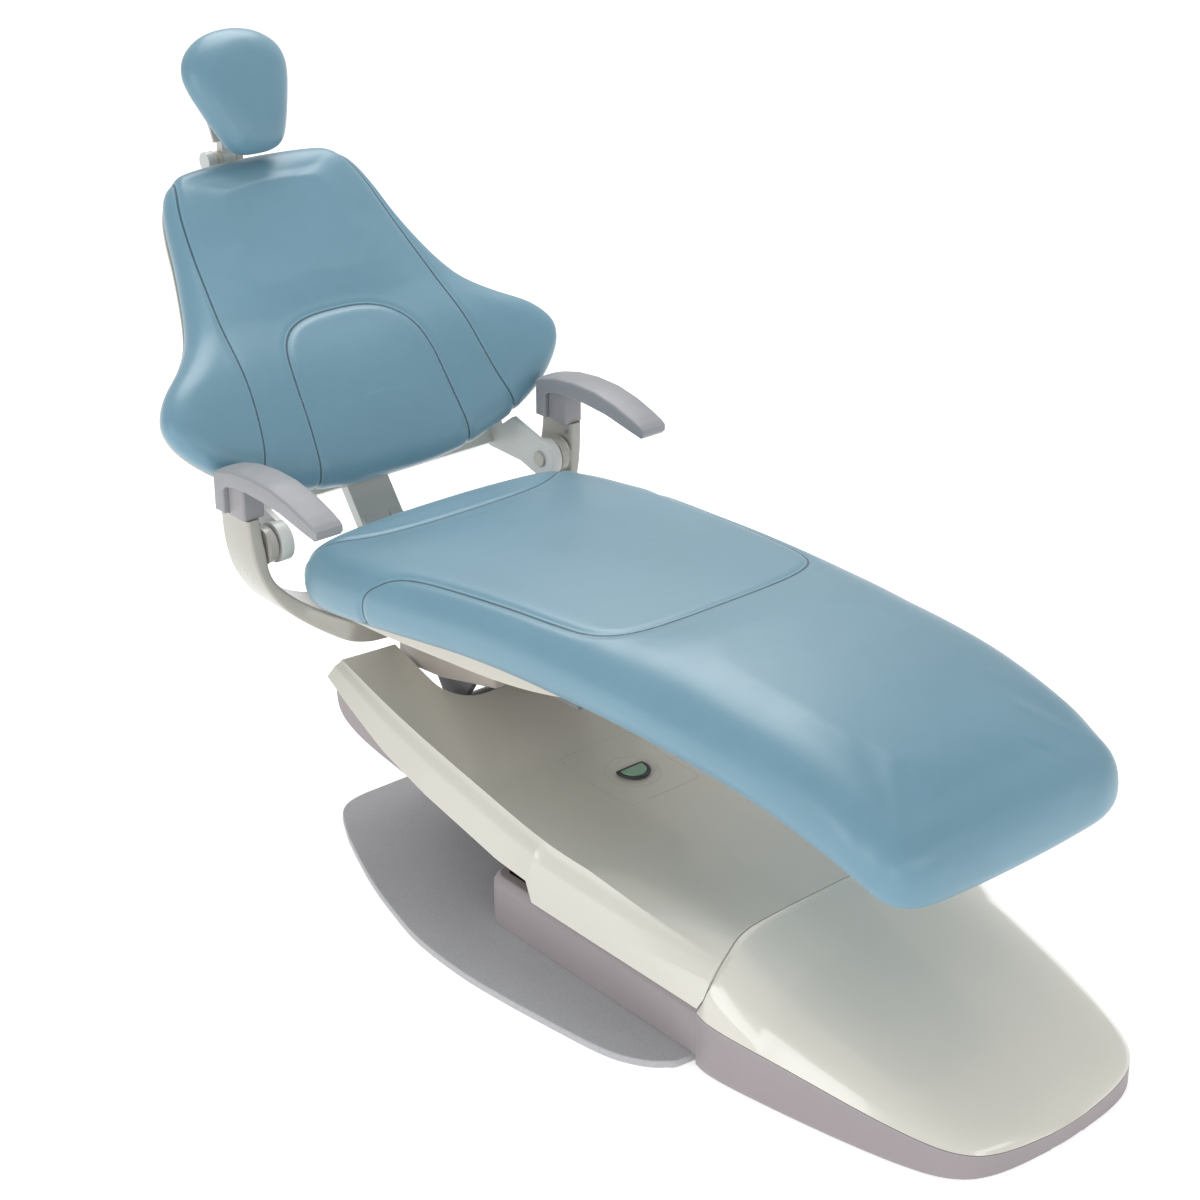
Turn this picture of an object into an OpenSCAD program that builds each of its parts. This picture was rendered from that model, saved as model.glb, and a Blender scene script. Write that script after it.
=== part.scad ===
// Dental patient chair: floor base with a nose cover, parallelogram lift arm,
// seat with leg rest, reclining back, sling arms with swivel pads, headrest.
// Millimetres, +Z up, toes towards -Y, origin at the floor-bolt pattern centre.

/* [Base] */
// thickness of the floor plate
plate_t = 12; // [8:1:20]
// radius of the four floor-bolt holes
anchor_r = 7; // [5:0.5:9]
// floor-bolt spacing across the chair
anchor_dx = 360; // [320:5:400]
// floor-bolt spacing along the chair
anchor_dy = 200; // [160:5:240]
// half width of the grey base box
box_hw = 257; // [250:1:257]
// wall of the grey base box and nose skirt
skirt_t = 4; // [3:0.5:6]

/* [Lift] */
// radius of the main lift shafts
shaft_r = 12; // [9:0.5:14]
// radius of the parallel link pins
pin_r = 8; // [6:0.5:9]
// radial running clearance in the steel pivots
run = 0.08; // [0.03:0.01:0.1]
// radius of the seam between lift cover and nose
seam_r = 118; // [114:1:119]
// wall of the moulded covers
cover_t = 3.5; // [3:0.5:5]
// outer radius of the lift cylinder barrel
barrel_r = 24; // [20:1:28]
// radius of the lift cylinder rod
rod_r = 11; // [8:1:14]

/* [Seat] */
// half thickness of the seat cushion
seat_half = 50; // [40:1:54]
// half width of the seat cushion
seat_hw = 292; // [276:1:294]

/* [Back] */
// half thickness of the back cushion
back_half = 30; // [24:1:34]
// half width across the shoulder wings
wing_hw = 389; // [360:1:400]
// radius of the back pivot discs
disc_r = 33; // [28:1:36]

/* [Headrest] */
// half width of the headrest cushion
head_hw = 99; // [90:1:110]
// half height of the headrest cushion
head_hh = 107; // [95:1:115]
// half thickness of the headrest cushion
head_half = 32; // [24:1:36]

/* [Arms] */
// thickness of the arm pads at the rear
pad_t = 30; // [24:1:36]
// width of the arm pads
pad_w = 58; // [48:1:66]

/* [Hidden] */
A = [-142, 165];
A2 = [-142, 105];
B = [560, 185];
B2 = [560, 125];
C1 = [-60, 44];
C2 = [380, 150];
box_top = 93;
box_rear = 244;
box_front = -235;
cyl_ang = atan2(C2[1] - C1[1], C2[0] - C1[0]);
cyl_len = norm(C2 - C1);
P0 = [818, 500];
back_ang = 53.7;
RP = [742, 475];
LUG = [RP[0] + 45, RP[1] - 125];
head_ang = 65;
H0 = [1199, 1065];

// smooth table lookup
function seg(t, x, i = 0) = (i >= len(t) - 2 || x < t[i + 1][0]) ? i : seg(t, x, i + 1);
function rise(t, i, j) = (t[j][1] - t[i][1]) / (t[j][0] - t[i][0]);
function slope(t, i) = rise(t, max(i - 1, 0), min(i + 1, len(t) - 1));
function smooth(t, x) =
  let (i = seg(t, x), h = t[i + 1][0] - t[i][0], s = (x - t[i][0]) / h, s2 = s * s, s3 = s2 * s)
  (2 * s3 - 3 * s2 + 1) * t[i][1] + (s3 - 2 * s2 + s) * h * slope(t, i)
  + (3 * s2 - 2 * s3) * t[i + 1][1] + (s3 - s2) * h * slope(t, i + 1);
function mix(a, b, t) = a + (b - a) * t;

// closed smooth loop through the points, k pieces per span
function loop(p, k) = let (n = len(p)) [for (i = [0 : n - 1]) for (j = [0 : k - 1])
  let (a = p[(i + n - 1) % n], b = p[i], c = p[(i + 1) % n], d = p[(i + 2) % n], t = j / k)
  0.5 * (2 * b + (c - a) * t + (2 * a - 5 * b + 4 * c - d) * t * t
  + (3 * b - a - 3 * c + d) * t * t * t)];
// mirrored outline from a half outline that starts and ends on the centre line
function whole(h) = concat(h, [for (i = [len(h) - 2 : -1 : 1]) [-h[i][0], h[i][1]]]);

// closed skin from a stack of rings with end caps
module skin(rings) {
  m = len(rings);
  n = len(rings[0]);
  polyhedron(
    points = [for (r = rings) for (p = r) p],
    faces = concat(
      [[for (j = [n - 1 : -1 : 0]) j]],
      [for (i = [0 : m - 2]) for (j = [0 : n - 1]) let (k = (j + 1) % n)
        [i * n + j, i * n + k, (i + 1) * n + k]],
      [for (i = [0 : m - 2]) for (j = [0 : n - 1]) let (k = (j + 1) % n)
        [i * n + j, (i + 1) * n + k, (i + 1) * n + j]],
      [[for (j = [0 : n - 1]) (m - 1) * n + j]]), convexity = 6);
}

// thin shell between two grids of the same size, cells kept where keep(i, j)
module shell(outer, inner, keep) {
  m = len(outer);
  n = len(outer[0]);
  o = m * n;
  function on(i, j) = i >= 0 && j >= 0 && i < m - 1 && j < n - 1 && keep[i][j];
  polyhedron(
    points = concat([for (r = outer) for (p = r) p], [for (r = inner) for (p = r) p]),
    faces = [for (i = [0 : m - 2]) for (j = [0 : n - 2]) if (on(i, j))
      let (a = i * n + j, b = a + 1, c = b + n, d = a + n)
      each concat([[a, b, c], [a, c, d], [o + a, o + c, o + b], [o + a, o + d, o + c]],
        on(i - 1, j) ? [] : [[a, o + a, o + b], [a, o + b, b]],
        on(i + 1, j) ? [] : [[c, o + c, o + d], [c, o + d, d]],
        on(i, j - 1) ? [] : [[d, o + d, o + a], [d, o + a, a]],
        on(i, j + 1) ? [] : [[b, o + b, o + c], [b, o + c, c]])], convexity = 6);
}

// pillow rings: outline scaled about a centre, with rolled edges
roll = [[0.04, -1], [0.34, -1], [0.66, -1], [0.86, -1], [0.94, -0.94], [0.98, -0.72], [1, -0.25], [1, 0.2], [0.985, 0.6],
  [0.955, 0.86], [0.9, 1], [0.76, 1.1], [0.5, 1.18], [0.2, 1.2], [0.04, 1.2]];
function pillow(line, c, half, crown) = [for (r = roll) [for (p = line)
  [c[0] + (p[0] - c[0]) * r[0], c[1] + (p[1] - c[1]) * r[0],
   half * (abs(r[1]) > 1 ? 1 + (abs(r[1]) - 1) * crown : r[1])]]];

// plate drawn in the YZ plane and thickened along X from x0 to x1
module side(x0, x1) {
  translate([x0, 0, 0]) rotate([90, 0, 90]) linear_extrude(x1 - x0) children();
}
// pin along X
module pin(p, r, x0, x1) {
  translate([x0, p[0], p[1]]) rotate([0, 90, 0]) cylinder(r = r, h = x1 - x0, $fn = 48);
}
module both() {
  children();
  mirror([1, 0, 0]) children();
}

// ---- base ----
plate_half = [[0, 675], [210, 675], [236, 662], [250, 635], [284, 559], [325, 450], [353, 351],
  [372, 260], [377, 150], [371, 59], [361, -27], [347, -125], [330, -175], [300, -212],
  [250, -227], [0, -229]];
module base_plate() {
  color("#8d8f93") difference() {
    linear_extrude(plate_t) polygon(loop(whole(plate_half), 2));
    for (x = [-1, 1]) for (y = [-1, 1])
      translate([x * anchor_dx / 2, y * anchor_dy / 2, -1]) cylinder(r = anchor_r, h = plate_t + 2, $fn = 48);
  }
}

// welded bracket: two cheeks on a foot, joined by a cross bar and a cylinder lug
module base_frame() {
  color("#77797c") {
    difference() {
      union() {
        both() side(98, 108) polygon([[-200, plate_t], [-60, plate_t], [-60, 40], [-110, 80],
          [-118, 176], [-132, 190], [-152, 190], [-166, 176], [-200, 60]]);
        translate([-98, -200, plate_t]) cube([196, 60, 6]);
        translate([-98, -198, plate_t + 6]) cube([196, 12, 30]);
        both() side(28, 38) polygon([[-130, plate_t], [-34, plate_t], [-34, 54], [-50, 68],
          [-72, 68], [-130, 18]]);
        translate([-38, -130, plate_t]) cube([76, 96, 5]);
      }
      pin(A, shaft_r, -120, 120);
      pin(A2, pin_r, -120, 120);
      pin(C1, pin_r, -40, 40);
    }
    pin(C1, pin_r, -38, 38);
  }
}
module lift_shaft() { color("#b9bcc0") pin(A, shaft_r, -112, 112); }
module link_shaft() { color("#b9bcc0") pin(A2, pin_r, -112, 112); }

box_half = [[0, box_rear], [box_hw - 34, box_rear], [box_hw - 10, box_rear - 10],
  [box_hw, box_rear - 34], [box_hw, box_front], [0, box_front]];
module box_line(d) {
  polygon(whole([for (p = box_half) [max(0, p[0] - (p[0] > 0 ? d : 0)),
    p[1] - (p[1] > 0 ? d : 0)]]));
}
module base_skirt() {
  color("#a89f9c") difference() {
    union() {
      translate([0, 0, plate_t]) linear_extrude(box_top - plate_t - 16) box_line(0);
      for (k = [0 : 3]) translate([0, 0, box_top - 16 + 4 * k]) linear_extrude(4) box_line(2 * k + 2);
    }
    translate([0, -5, plate_t - 1]) linear_extrude(box_top - plate_t - 19) box_line(skirt_t);
    translate([0, -5, plate_t]) linear_extrude(box_top - plate_t - 4) box_line(skirt_t + 8);
    translate([0, -5, plate_t]) linear_extrude(box_top) box_line(24);
  }
}

// ---- nose ----
nose_line = [[0, 262], [0.06, 266], [0.14, 263], [0.26, 252], [0.38, 240], [0.5, 226],
  [0.62, 209], [0.72, 190], [0.81, 165], [0.88, 134], [0.94, 92], [1, 34]];
nose_y = [[0, -236], [0.06, -262], [0.14, -306], [0.26, -378], [0.38, -444], [0.5, -510],
  [0.62, -574], [0.72, -622], [0.81, -652], [0.88, -668], [0.94, -677], [1, -682]];
crown_y = [[0, -253], [0.3, -372], [0.6, -512], [0.85, -634], [1, -681]];
crown_z = [[0, 207], [0.12, 190], [0.3, 166], [0.5, 138], [0.7, 102], [0.87, 64], [0.95, 44],
  [1, 31]];
nose_edge = [[0, 87], [0.3, 76], [0.6, 56], [0.85, 38], [1, 28]];
seam_arch = [[0, 1], [0.56, 0.98], [0.72, 0.95], [0.8, 0.89], [0.88, 0.76], [0.94, 0.63], [0.975, 0.5],
  [0.99, 0.39], [1, 0]];
nose_arch = [[0, 1], [0.3, 0.965], [0.5, 0.89], [0.65, 0.79], [0.8, 0.61], [0.9, 0.4], [0.96, 0.2],
  [1, 0]];
function arch(t, s) = mix(smooth(seam_arch, s), smooth(nose_arch, s), min(1, t / 0.22));
ribs = [0, 0.05, 0.12, 0.2, 0.3, 0.4, 0.5, 0.6, 0.68, 0.76, 0.82, 0.88, 0.93, 0.97, 1];
half_s = [1, 0.992, 0.97, 0.92, 0.85, 0.75, 0.6, 0.33];
cols = concat([for (s = half_s) -s], [0], [for (i = [7 : -1 : 0]) half_s[i]]);
function seam_y(z, r) = A[0] - sqrt(max(r * r - pow(z - A[1], 2), 0));
function nose_pt(t, s, d) =
  let (e = smooth(nose_edge, t), w = smooth(nose_line, t) - d, q = abs(s),
    z = e + (smooth(crown_z, t) - d - e) * arch(t, q),
    y = mix(smooth(crown_y, t), smooth(nose_y, t), q * q) + (t > 0.5 ? d * 0.6 : 0))
  [w * s, min(y, seam_y(z, seam_r + 1.6)), z];
module nose_cover() {
  color("#dedbcf") shell([for (t = ribs) [for (s = cols) nose_pt(t, s, 0)]],
    [for (t = ribs) [for (s = cols) nose_pt(t, s, cover_t)]],
    [for (t = ribs) [for (s = cols) true]]);
}

// skirt band below the nose, open at the rear
band_t = [0, 0.06, 0.14, 0.26, 0.38, 0.5, 0.62, 0.72, 0.81, 0.88, 0.94, 1];
function band_pt(t, sx, z, d) =
  [sx * (smooth(nose_line, t) - d), min(smooth(nose_y, t) + (t > 0.5 ? d : 0),
    seam_y(max(z, 46), seam_r + 1.6)), z];
function band_row(z, d) = concat([for (t = band_t) band_pt(t, -1, mix(1.5, smooth(nose_edge, t) - 1.2, z), d)],
  [for (i = [11 : -1 : 0]) band_pt(band_t[i], 1, mix(1.5, smooth(nose_edge, band_t[i]) - 1.2, z), d)]);
module nose_skirt() {
  rows = [0, 0.3, 0.65, 1];
  color("#a89f9c") shell([for (z = rows) band_row(z, 0)], [for (z = rows) band_row(z, skirt_t)],
    [for (z = rows) [for (k = [0 : 23]) true]]);
}

// ---- machinery inside the nose ----
module pump_tray() {
  color("#77797c") {
    translate([-150, -600, 4]) cube([300, 366, 4]);
    both() translate([146, -560, 8]) cube([4, 300, 14]);
  }
}
module pump_motor() {
  color("#55585c") {
    translate([-60, -560, 50]) rotate([-90, 0, 0]) cylinder(r = 38, h = 150, $fn = 64);
    translate([-60, -410, 50]) rotate([-90, 0, 0]) cylinder(r = 26, h = 14, $fn = 64);
    translate([-96, -540, 8]) cube([72, 16, 14]);
    translate([-96, -440, 8]) cube([72, 16, 14]);
    translate([-90, -396, 8]) cube([60, 56, 76]);
  }
}
module fluid_reservoir() {
  color("#d8d9d2") {
    translate([10, -560, 8]) cube([110, 120, 72]);
    translate([65, -500, 80]) cylinder(r = 15, h = 12, $fn = 48);
  }
}
module valve_block() {
  color("#b9bcc0") {
    translate([10, -424, 8]) cube([110, 44, 34]);
    for (i = [0 : 3]) translate([26 + 26 * i, -402, 42]) cylinder(r = 9, h = 34, $fn = 32);
  }
}
module control_box() {
  color("#4c5054") {
    translate([4, -368, 8]) cube([130, 84, 52]);
    translate([8, -364, 60]) cube([122, 76, 4]);
    for (i = [0 : 2]) translate([30 + 36 * i, -284, 34]) rotate([-90, 0, 0]) cylinder(r = 9, h = 10, $fn = 32);
  }
}

// ---- lift arm ----
function along(t, n) = A + (B - A) * t + [-(B - A)[1], (B - A)[0]] / norm(B - A) * n;
module lift_arm() {
  color("#77797c") difference() {
    union() {
      both() side(80, 92) polygon([along(0, 0) + [-22, -8], along(0, 0) + [-22, 10], along(0.02, 19),
        along(0.14, 8), along(0.55, 8), along(0.9, 14), along(0.97, 20), along(1, 0) + [22, 6],
        along(1, 0) + [22, -10], along(0.97, -20), along(0.9, -17), along(0.2, -17),
        along(0.03, -22)]);
      both() pin(A, 20, 80, 97);
      for (t = [0.28, 0.4]) translate([-80, along(t, 0)[0] - 12, along(t, 0)[1] - 14]) cube([160, 24, 20]);
      both() side(14, 26) polygon([C2 + [-16, -10], C2 + [-6, -18], C2 + [8, -18], C2 + [18, -8],
        C2 + [26, 34], C2 + [-26, 34]]);
      translate([-80, C2[0] - 28, C2[1] + 30]) cube([160, 56, 10]);
    }
    pin(A, shaft_r + run, -120, 120);
    pin(B, shaft_r, -120, 120);
    pin(C2, pin_r, -30, 30);
  }
  color("#b9bcc0") pin(C2, pin_r, -26, 26);
}

// ivory cover over the lift arm, open over the carriage at the rear
cov_t = [0, 0.02, 0.06, 0.12, 0.2, 0.28, 0.36, 0.405, 0.42, 0.5, 0.58, 0.64, 0.7, 0.76, 0.82, 0.88, 0.94, 0.98, 1];
cov_edge_y = [[0, -237], [0.405, 124], [0.42, 136], [1, 658]];
cov_edge_z = [[0, 96], [0.404, 96], [0.421, 127], [0.5, 131], [0.7, 162], [0.82, 190],
  [0.94, 234], [1, 259]];
cov_ridge_z = [[0, 186], [0.2, 186], [0.4, 187], [0.6, 212], [0.8, 244], [1, 281]];
cov_crown_y = [[0, -252], [0.1, -175], [0.5, 190], [0.76, 482], [1, 640]];
cov_crown_z = [[0, 207], [0.1, 201], [0.25, 192], [0.4, 188], [0.5, 190], [0.6, 201], [0.76, 232],
  [1, 281]];
cov_hw = [[0, 263.5], [0.4, 263.5], [0.6, 260], [0.85, 255], [1, 248]];
cov_s = [1, 0.992, 0.97, 0.93, 0.87, 0.77, 0.63, 0.49, 0.22];
cov_cols = concat([for (s = cov_s) -s], [0], [for (i = [8 : -1 : 0]) cov_s[i]]);
function cov_arch(t, q) = let (e = lookup(t, cov_edge_z), c = smooth(cov_crown_z, t),
    r = smooth(cov_ridge_z, t), a = e + (c - e) * smooth(seam_arch, q),
    b = q > 0.91 ? mix(r, e, (q - 0.91) / 0.09) : mix(c, r, pow(q / 0.91, 3)))
  mix(a, b, min(1, t / 0.3));
function cov_pt(t, s, d) =
  let (q = abs(s), w = smooth(cov_hw, t),
    z = cov_arch(t, q) - d * (q > 0.99 ? 0 : 1),
    z0 = cov_arch(0, q), y0 = mix(cov_crown_y[0][1], cov_edge_y[0][1], pow(q, 1.6)),
    y = mix(smooth(cov_crown_y, t), lookup(t, cov_edge_y), pow(q, 1.6))
      + (seam_y(z0, seam_r) - y0) * pow(max(0, 1 - t / 0.16), 2),
    x = w - (q > 0.93 ? 0 : (t > 0.3 ? 6 : 20 * t)) * min(1, (1 - q) * 12))
  [s * x - sign(s) * d * (q > 0.5 ? 1.1 : 0), max(y, seam_y(z, seam_r)), z];
module lift_cover() {
  color("#dedbcf") difference() {
    shell([for (t = cov_t) [for (s = cov_cols) cov_pt(t, s, 0)]],
      [for (t = cov_t) [for (s = cov_cols) cov_pt(t, s, cover_t)]],
      [for (i = [0 : 18]) [for (j = [0 : 18]) !(i >= 13 && j >= 7 && j <= 10)]]);
    on_cover() translate([0, 0, -16]) linear_extrude(24) dshape(24.5, 7.5);
  }
}

// belly pan closing the rear of the cover on both sides of the linkage
pan_low = [[70, 122], [200, 122], [330, 138], [440, 158], [560, 178], [628, 200], [640, 216],
  [643, 236]];
pan_up = [[639, 236], [636, 218], [626, 204], [559, 182], [440, 162], [330, 142], [200, 126],
  [70, 126]];
module lift_under_cover() {
  color("#a89f9c") difference() {
    side(-236, 236) polygon(concat(pan_low, pan_up));
    translate([-120, 60, 100]) cube([240, 600, 160]);
  }
}

module dshape(r, x) {
  intersection() {
    circle(r = r, $fn = 64);
    translate([-r, -x]) square([2 * r, 2 * r]);
  }
}
module on_cover() { translate([0, 198, 191.8]) rotate([-2, 0, 180]) children(); }
module switch_bezel() {
  color("#4c5054") on_cover() difference() {
    union() {
      linear_extrude(4) dshape(28, 10);
      translate([0, 0, -6]) linear_extrude(8) dshape(24, 7);
    }
    translate([0, 0, -8]) linear_extrude(14) dshape(22, 5);
  }
}
module switch_button() {
  color("#cfe0d4") on_cover() translate([0, 0, 0.4]) linear_extrude(4.6) dshape(21.5, 4.5);
}

// ---- second link of the parallelogram ----
module parallel_link() {
  color("#77797c") difference() {
    union() {
      both() side(44, 54) polygon([A2 + [-15, -6], A2 + [-15, 6], A2 + [-6, 15], A2 + [8, 15],
        A2 + [30, 10], B2 + [-30, 10], B2 + [-8, 15], B2 + [6, 15], B2 + [15, 6], B2 + [15, -6],
        B2 + [6, -15], B2 + [-8, -15], B2 + [-30, -10], A2 + [30, -10], A2 + [8, -15],
        A2 + [-6, -15]]);
      translate([-44, 466, 116]) cube([88, 20, 12]);
    }
    pin(A2, pin_r + run, -60, 60);
    pin(B2, pin_r + 0.5, -60, 60);
  }
}

// ---- lift cylinder ----
module on_cyl() { translate([0, C1[0], C1[1]]) rotate([cyl_ang, 0, 0]) children(); }
module lift_cylinder() {
  color("#3d4145") on_cyl() difference() {
    union() {
      translate([-12, 0, 0]) rotate([0, 90, 0]) cylinder(r = 16, h = 24, $fn = 48);
      translate([-12, 0, -12]) cube([24, 34, 24]);
      translate([0, 30, 0]) rotate([-90, 0, 0]) cylinder(r = barrel_r, h = 220, $fn = 64);
      translate([0, 250, 0]) rotate([-90, 0, 0]) cylinder(r = barrel_r - 3, h = 16, $fn = 64);
    }
    translate([-20, 0, 0]) rotate([0, 90, 0]) cylinder(r = pin_r + run, h = 40, $fn = 48);
    translate([0, 44, 0]) rotate([-90, 0, 0]) cylinder(r = rod_r + 0.6, h = 260, $fn = 48);
  }
}
module lift_rod() {
  color("#c9ccd0") on_cyl() difference() {
    union() {
      translate([0, 60, 0]) rotate([-90, 0, 0]) cylinder(r = rod_r, h = cyl_len - 60 - 18, $fn = 48);
      translate([-10, cyl_len, 0]) rotate([0, 90, 0]) cylinder(r = 22, h = 20, $fn = 64);
    }
    translate([-20, cyl_len, 0]) rotate([0, 90, 0]) cylinder(r = pin_r + 7, h = 40, $fn = 48);
  }
}

// ---- carriage ----
module carriage_frame() {
  color("#77797c") difference() {
    union() {
      both() side(60, 72) polygon([[540, 108], [580, 108], [584, 200], [624, 262], [624, 276],
        [496, 276], [496, 262], [536, 200]]);
      translate([-108, 476, 276]) cube([216, 160, 8]);
      both() pin(B, 20, 72, 79);
    }
    pin(B, shaft_r + run, -120, 120);
    pin(B2, pin_r, -120, 120);
  }
}
module carriage_shaft() { color("#b9bcc0") pin(B, shaft_r, -92, 92); }
module carriage_link_pin() { color("#b9bcc0") pin(B2, pin_r, -72, 72); }
shroud_side = [[400, 320], [400, 298], [470, 284], [540, 268], [640, 258], [652, 272], [652, 320]];
module carriage_shroud() {
  color("#8e857f") difference() {
    side(-112, 112) polygon(shroud_side);
    translate([-108, 404, 240]) cube([216, 244, 76]);
    translate([-106, 416, 300]) cube([212, 220, 40]);
  }
}

// ---- seat ----
module seat_frame() {
  color("#77797c") {
    difference() {
      union() {
        both() translate([82, 200, 332]) cube([26, 480, 32]);
        translate([-82, 210, 334]) cube([164, 40, 26]);
        translate([-82, 596, 356]) cube([164, 40, 8]);
        translate([-140, 656, 296]) cube([280, 34, 20]);
        both() translate([82, 656, 316]) cube([26, 24, 16]);
        both() side(14, 24) polygon([[300, 358], [300, 332], [316, 320], [344, 320], [352, 332],
          [352, 358]]);
        translate([-82, 296, 358]) cube([164, 60, 6]);
      }
      pin([330, 338], pin_r, -40, 40);
    }
    translate([-104, 478, 284]) cube([208, 156, 8]);
    both() translate([82, 486, 292]) cube([22, 140, 40]);
  }
}

seat_low = [[690, 378], [640, 380], [560, 386], [498, 390], [338, 406], [217, 417], [80, 428],
  [-60, 436]];
seat_top = [[-60, 443], [80, 440], [217, 433], [338, 425], [498, 406], [560, 398], [640, 387], [690, 383]];
module seat_pan() {
  color("#dedbcf") {
    difference() {
      side(-238, 238) polygon(concat([for (p = seat_low) [p[0], p[1] - 6]], seat_top));
      side(-234, 234) polygon(concat([for (p = seat_low) [min(p[0], 686), p[1] - 2]],
        [[-56, 470], [686, 470]]));
      translate([-22, 640, 360]) cube([44, 60, 40]);
      both() translate([186, -70, 400]) cube([60, 170, 60]);
      both() translate([218, -70, 400]) cube([30, 240, 60]);
    }
    both() side(82, 108) polygon([[120, 364], [560, 364], [560, 398], [498, 406], [338, 424],
      [217, 433], [120, 438]]);
  }
}

// ---- seat cushion ----
seat_mid = [[-600, 400], [-540, 424], [-450, 457], [-300, 486], [-100, 497], [80, 495], [234, 488],
  [400, 472], [560, 451], [640, 440], [720, 434]];
seat_line = [[0, -578], [110, -576], [180, -570], [222, -548], [238, -500], [246, -400],
  [253, -250], [259, -60], [265, 120], [273, 280], [seat_hw - 6, 420], [seat_hw, 540],
  [seat_hw - 4, 620], [270, 676], [214, 708], [124, 718], [0, 720]];
module seat_cushion() {
  rows = pillow(loop(whole(seat_line), 2), [0, 70], seat_half, 0.6);
  color("#6f9bb0") skin([for (r = rows) [for (p = r) [p[0], p[1], smooth(seat_mid, p[1]) + p[2]]]]);
}

// ---- sling arms ----
sling_in = [[315, 530], [313, 500], [309, 472], [306, 440], [296, 416], [270, 388], [236, 364],
  [206, 350], [174, 342], [140, 338]];
sling_out = [[140, 300], [176, 304], [216, 317], [255, 341], [287, 370], [313, 408], [328, 448],
  [335, 487], [338, 530]];
module sling() {
  intersection() {
    translate([0, 900, 0]) rotate([90, 0, 0]) linear_extrude(400) polygon(concat(sling_in, sling_out));
    side(100, 400) polygon([[722, 540], [718, 470], [710, 410], [692, 368], [664, 344], [640, 330],
      [640, 280], [778, 280], [797, 350], [803, 420], [800, 540]]);
  }
}
module sling_arm_left() {
  color("#d9d8d0") difference() {
    sling();
    translate([324, 760, 490]) cylinder(r = 6, h = 50, $fn = 48);
    pin(RP, 10, 300, 329);
  }
}
module sling_arm_right() { color("#d9d8d0") mirror([1, 0, 0]) sling_arm_left(); }
module sling_screws() {
  color("#b9bcc0") both() translate([311, 732, 516]) rotate([0, -90, 0]) cylinder(r = 3.5, h = 2.4, $fn = 24);
}

// boss on the inner face of each post, with a running journal for the back
module back_pivot_left() {
  color("#cfcec6") {
    pin(RP, 30, 288, 305.5);
    pin(RP, 14, 258, 288);
    pin(RP, 10, 305.5, 329);
  }
}
module back_pivot_right() { color("#cfcec6") mirror([1, 0, 0]) back_pivot_left(); }

// ---- arm pads ----
module arm_socket_left() {
  color("#9b989c") {
    translate([300, 724, 530.5]) cube([38, 62, 46]);
    translate([324, 760, 502]) cylinder(r = 5.92, h = 29, $fn = 48);
  }
}
module arm_socket_right() { color("#9b989c") mirror([1, 0, 0]) arm_socket_left(); }
pad_side = [[786, 578], [786, 598], [777, 607], [740, 616], [690, 621], [640, 620], [590, 612],
  [545, 599], [524, 589], [526, 580], [560, 583], [610, 592], [660, 595], [710, 592], [732, 586],
  [738, 578]];
pad_plan = [[-0.42, 790], [-0.5, 776], [-0.5, 600], [-0.47, 545], [-0.4, 525], [0, 519], [0.4, 525],
  [0.47, 545], [0.5, 600], [0.5, 776], [0.42, 790]];
module arm_pad_left() {
  color("#b0b2b8") intersection() {
    side(280, 360) polygon(pad_side);
    translate([323, 0, 560]) linear_extrude(90) polygon([for (p = pad_plan) [p[0] * pad_w, p[1]]]);
  }
}
module arm_pad_right() { color("#b0b2b8") mirror([1, 0, 0]) arm_pad_left(); }

// ---- back: frame drawn in YZ, shell and cushion in the back plane ----
function bk(u, w) = P0 + [cos(back_ang), sin(back_ang)] * u + [-sin(back_ang), cos(back_ang)] * w;
module on_back() {
  translate([0, P0[0], P0[1]]) rotate([back_ang, 0, 0]) children();
}
module back_frame() {
  color("#b9bcb4") {
    difference() {
      both() union() {
        pin(RP, disc_r, 262, 284);
        side(262, 272) polygon([RP + [0, 32.9], [818, 529], bk(23, -28), bk(70, -30), bk(70, -76),
          bk(4, -76), [795, 456], RP + [8, -32]]);
      }
      both() pin(RP, 14 + run, 250, 300);
    }
    on_back() translate([-264, 6, -75]) cube([528, 58, 15]);
    on_back() translate([-42, -74, -92]) cube([84, 404, 20]);
    both() side(16, 40) polygon([bk(-20, -80), LUG + [-6, 16], LUG + [-15, 6], LUG + [-15, -6],
      LUG + [-8, -15], LUG + [4, -16], LUG + [14, -10], bk(-20, -90)]);
    pin(LUG, pin_r, -20, 20);
  }
}

back_line = [[0, -9], [80, -8], [150, 0], [215, 15], [280, 39], [330, 66], [368, 100],
  [wing_hw - 1, 132], [wing_hw, 165], [364, 204], [313, 246], [278, 282], [256, 320], [236, 372],
  [218, 430], [205, 485], [190, 530], [170, 560], [138, 578], [90, 586], [0, 590]];
bow_mid = [[-10, 16], [100, 24], [200, 22], [300, -4], [400, -22], [500, -33], [592, -40]];
function bow(x, u) = smooth(bow_mid, u) + 32 * pow(abs(x) / 389, 2);
module back_cushion() {
  rows = pillow(loop(whole(back_line), 2), [0, 235], back_half, 0.5);
  color("#6f9bb0") on_back() skin([for (r = rows) [for (p = r)
    [p[0], p[1], bow(p[0], p[1]) + p[2]]]]);
}
function shell_row(k, d) = [for (p = loop(whole(back_line), 1))
  let (x = p[0] * k, u = 235 + (p[1] - 235) * k) [x, u, bow(x, u) - d]];
module back_shell() {
  color("#dedbcf") on_back() skin([shell_row(0.05, 50), shell_row(0.5, 50), shell_row(0.8, 50), shell_row(0.93, 46),
    shell_row(0.965, 40), shell_row(0.965, 34.5), shell_row(0.5, 34.5), shell_row(0.05, 34.5)]);
}

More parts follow.
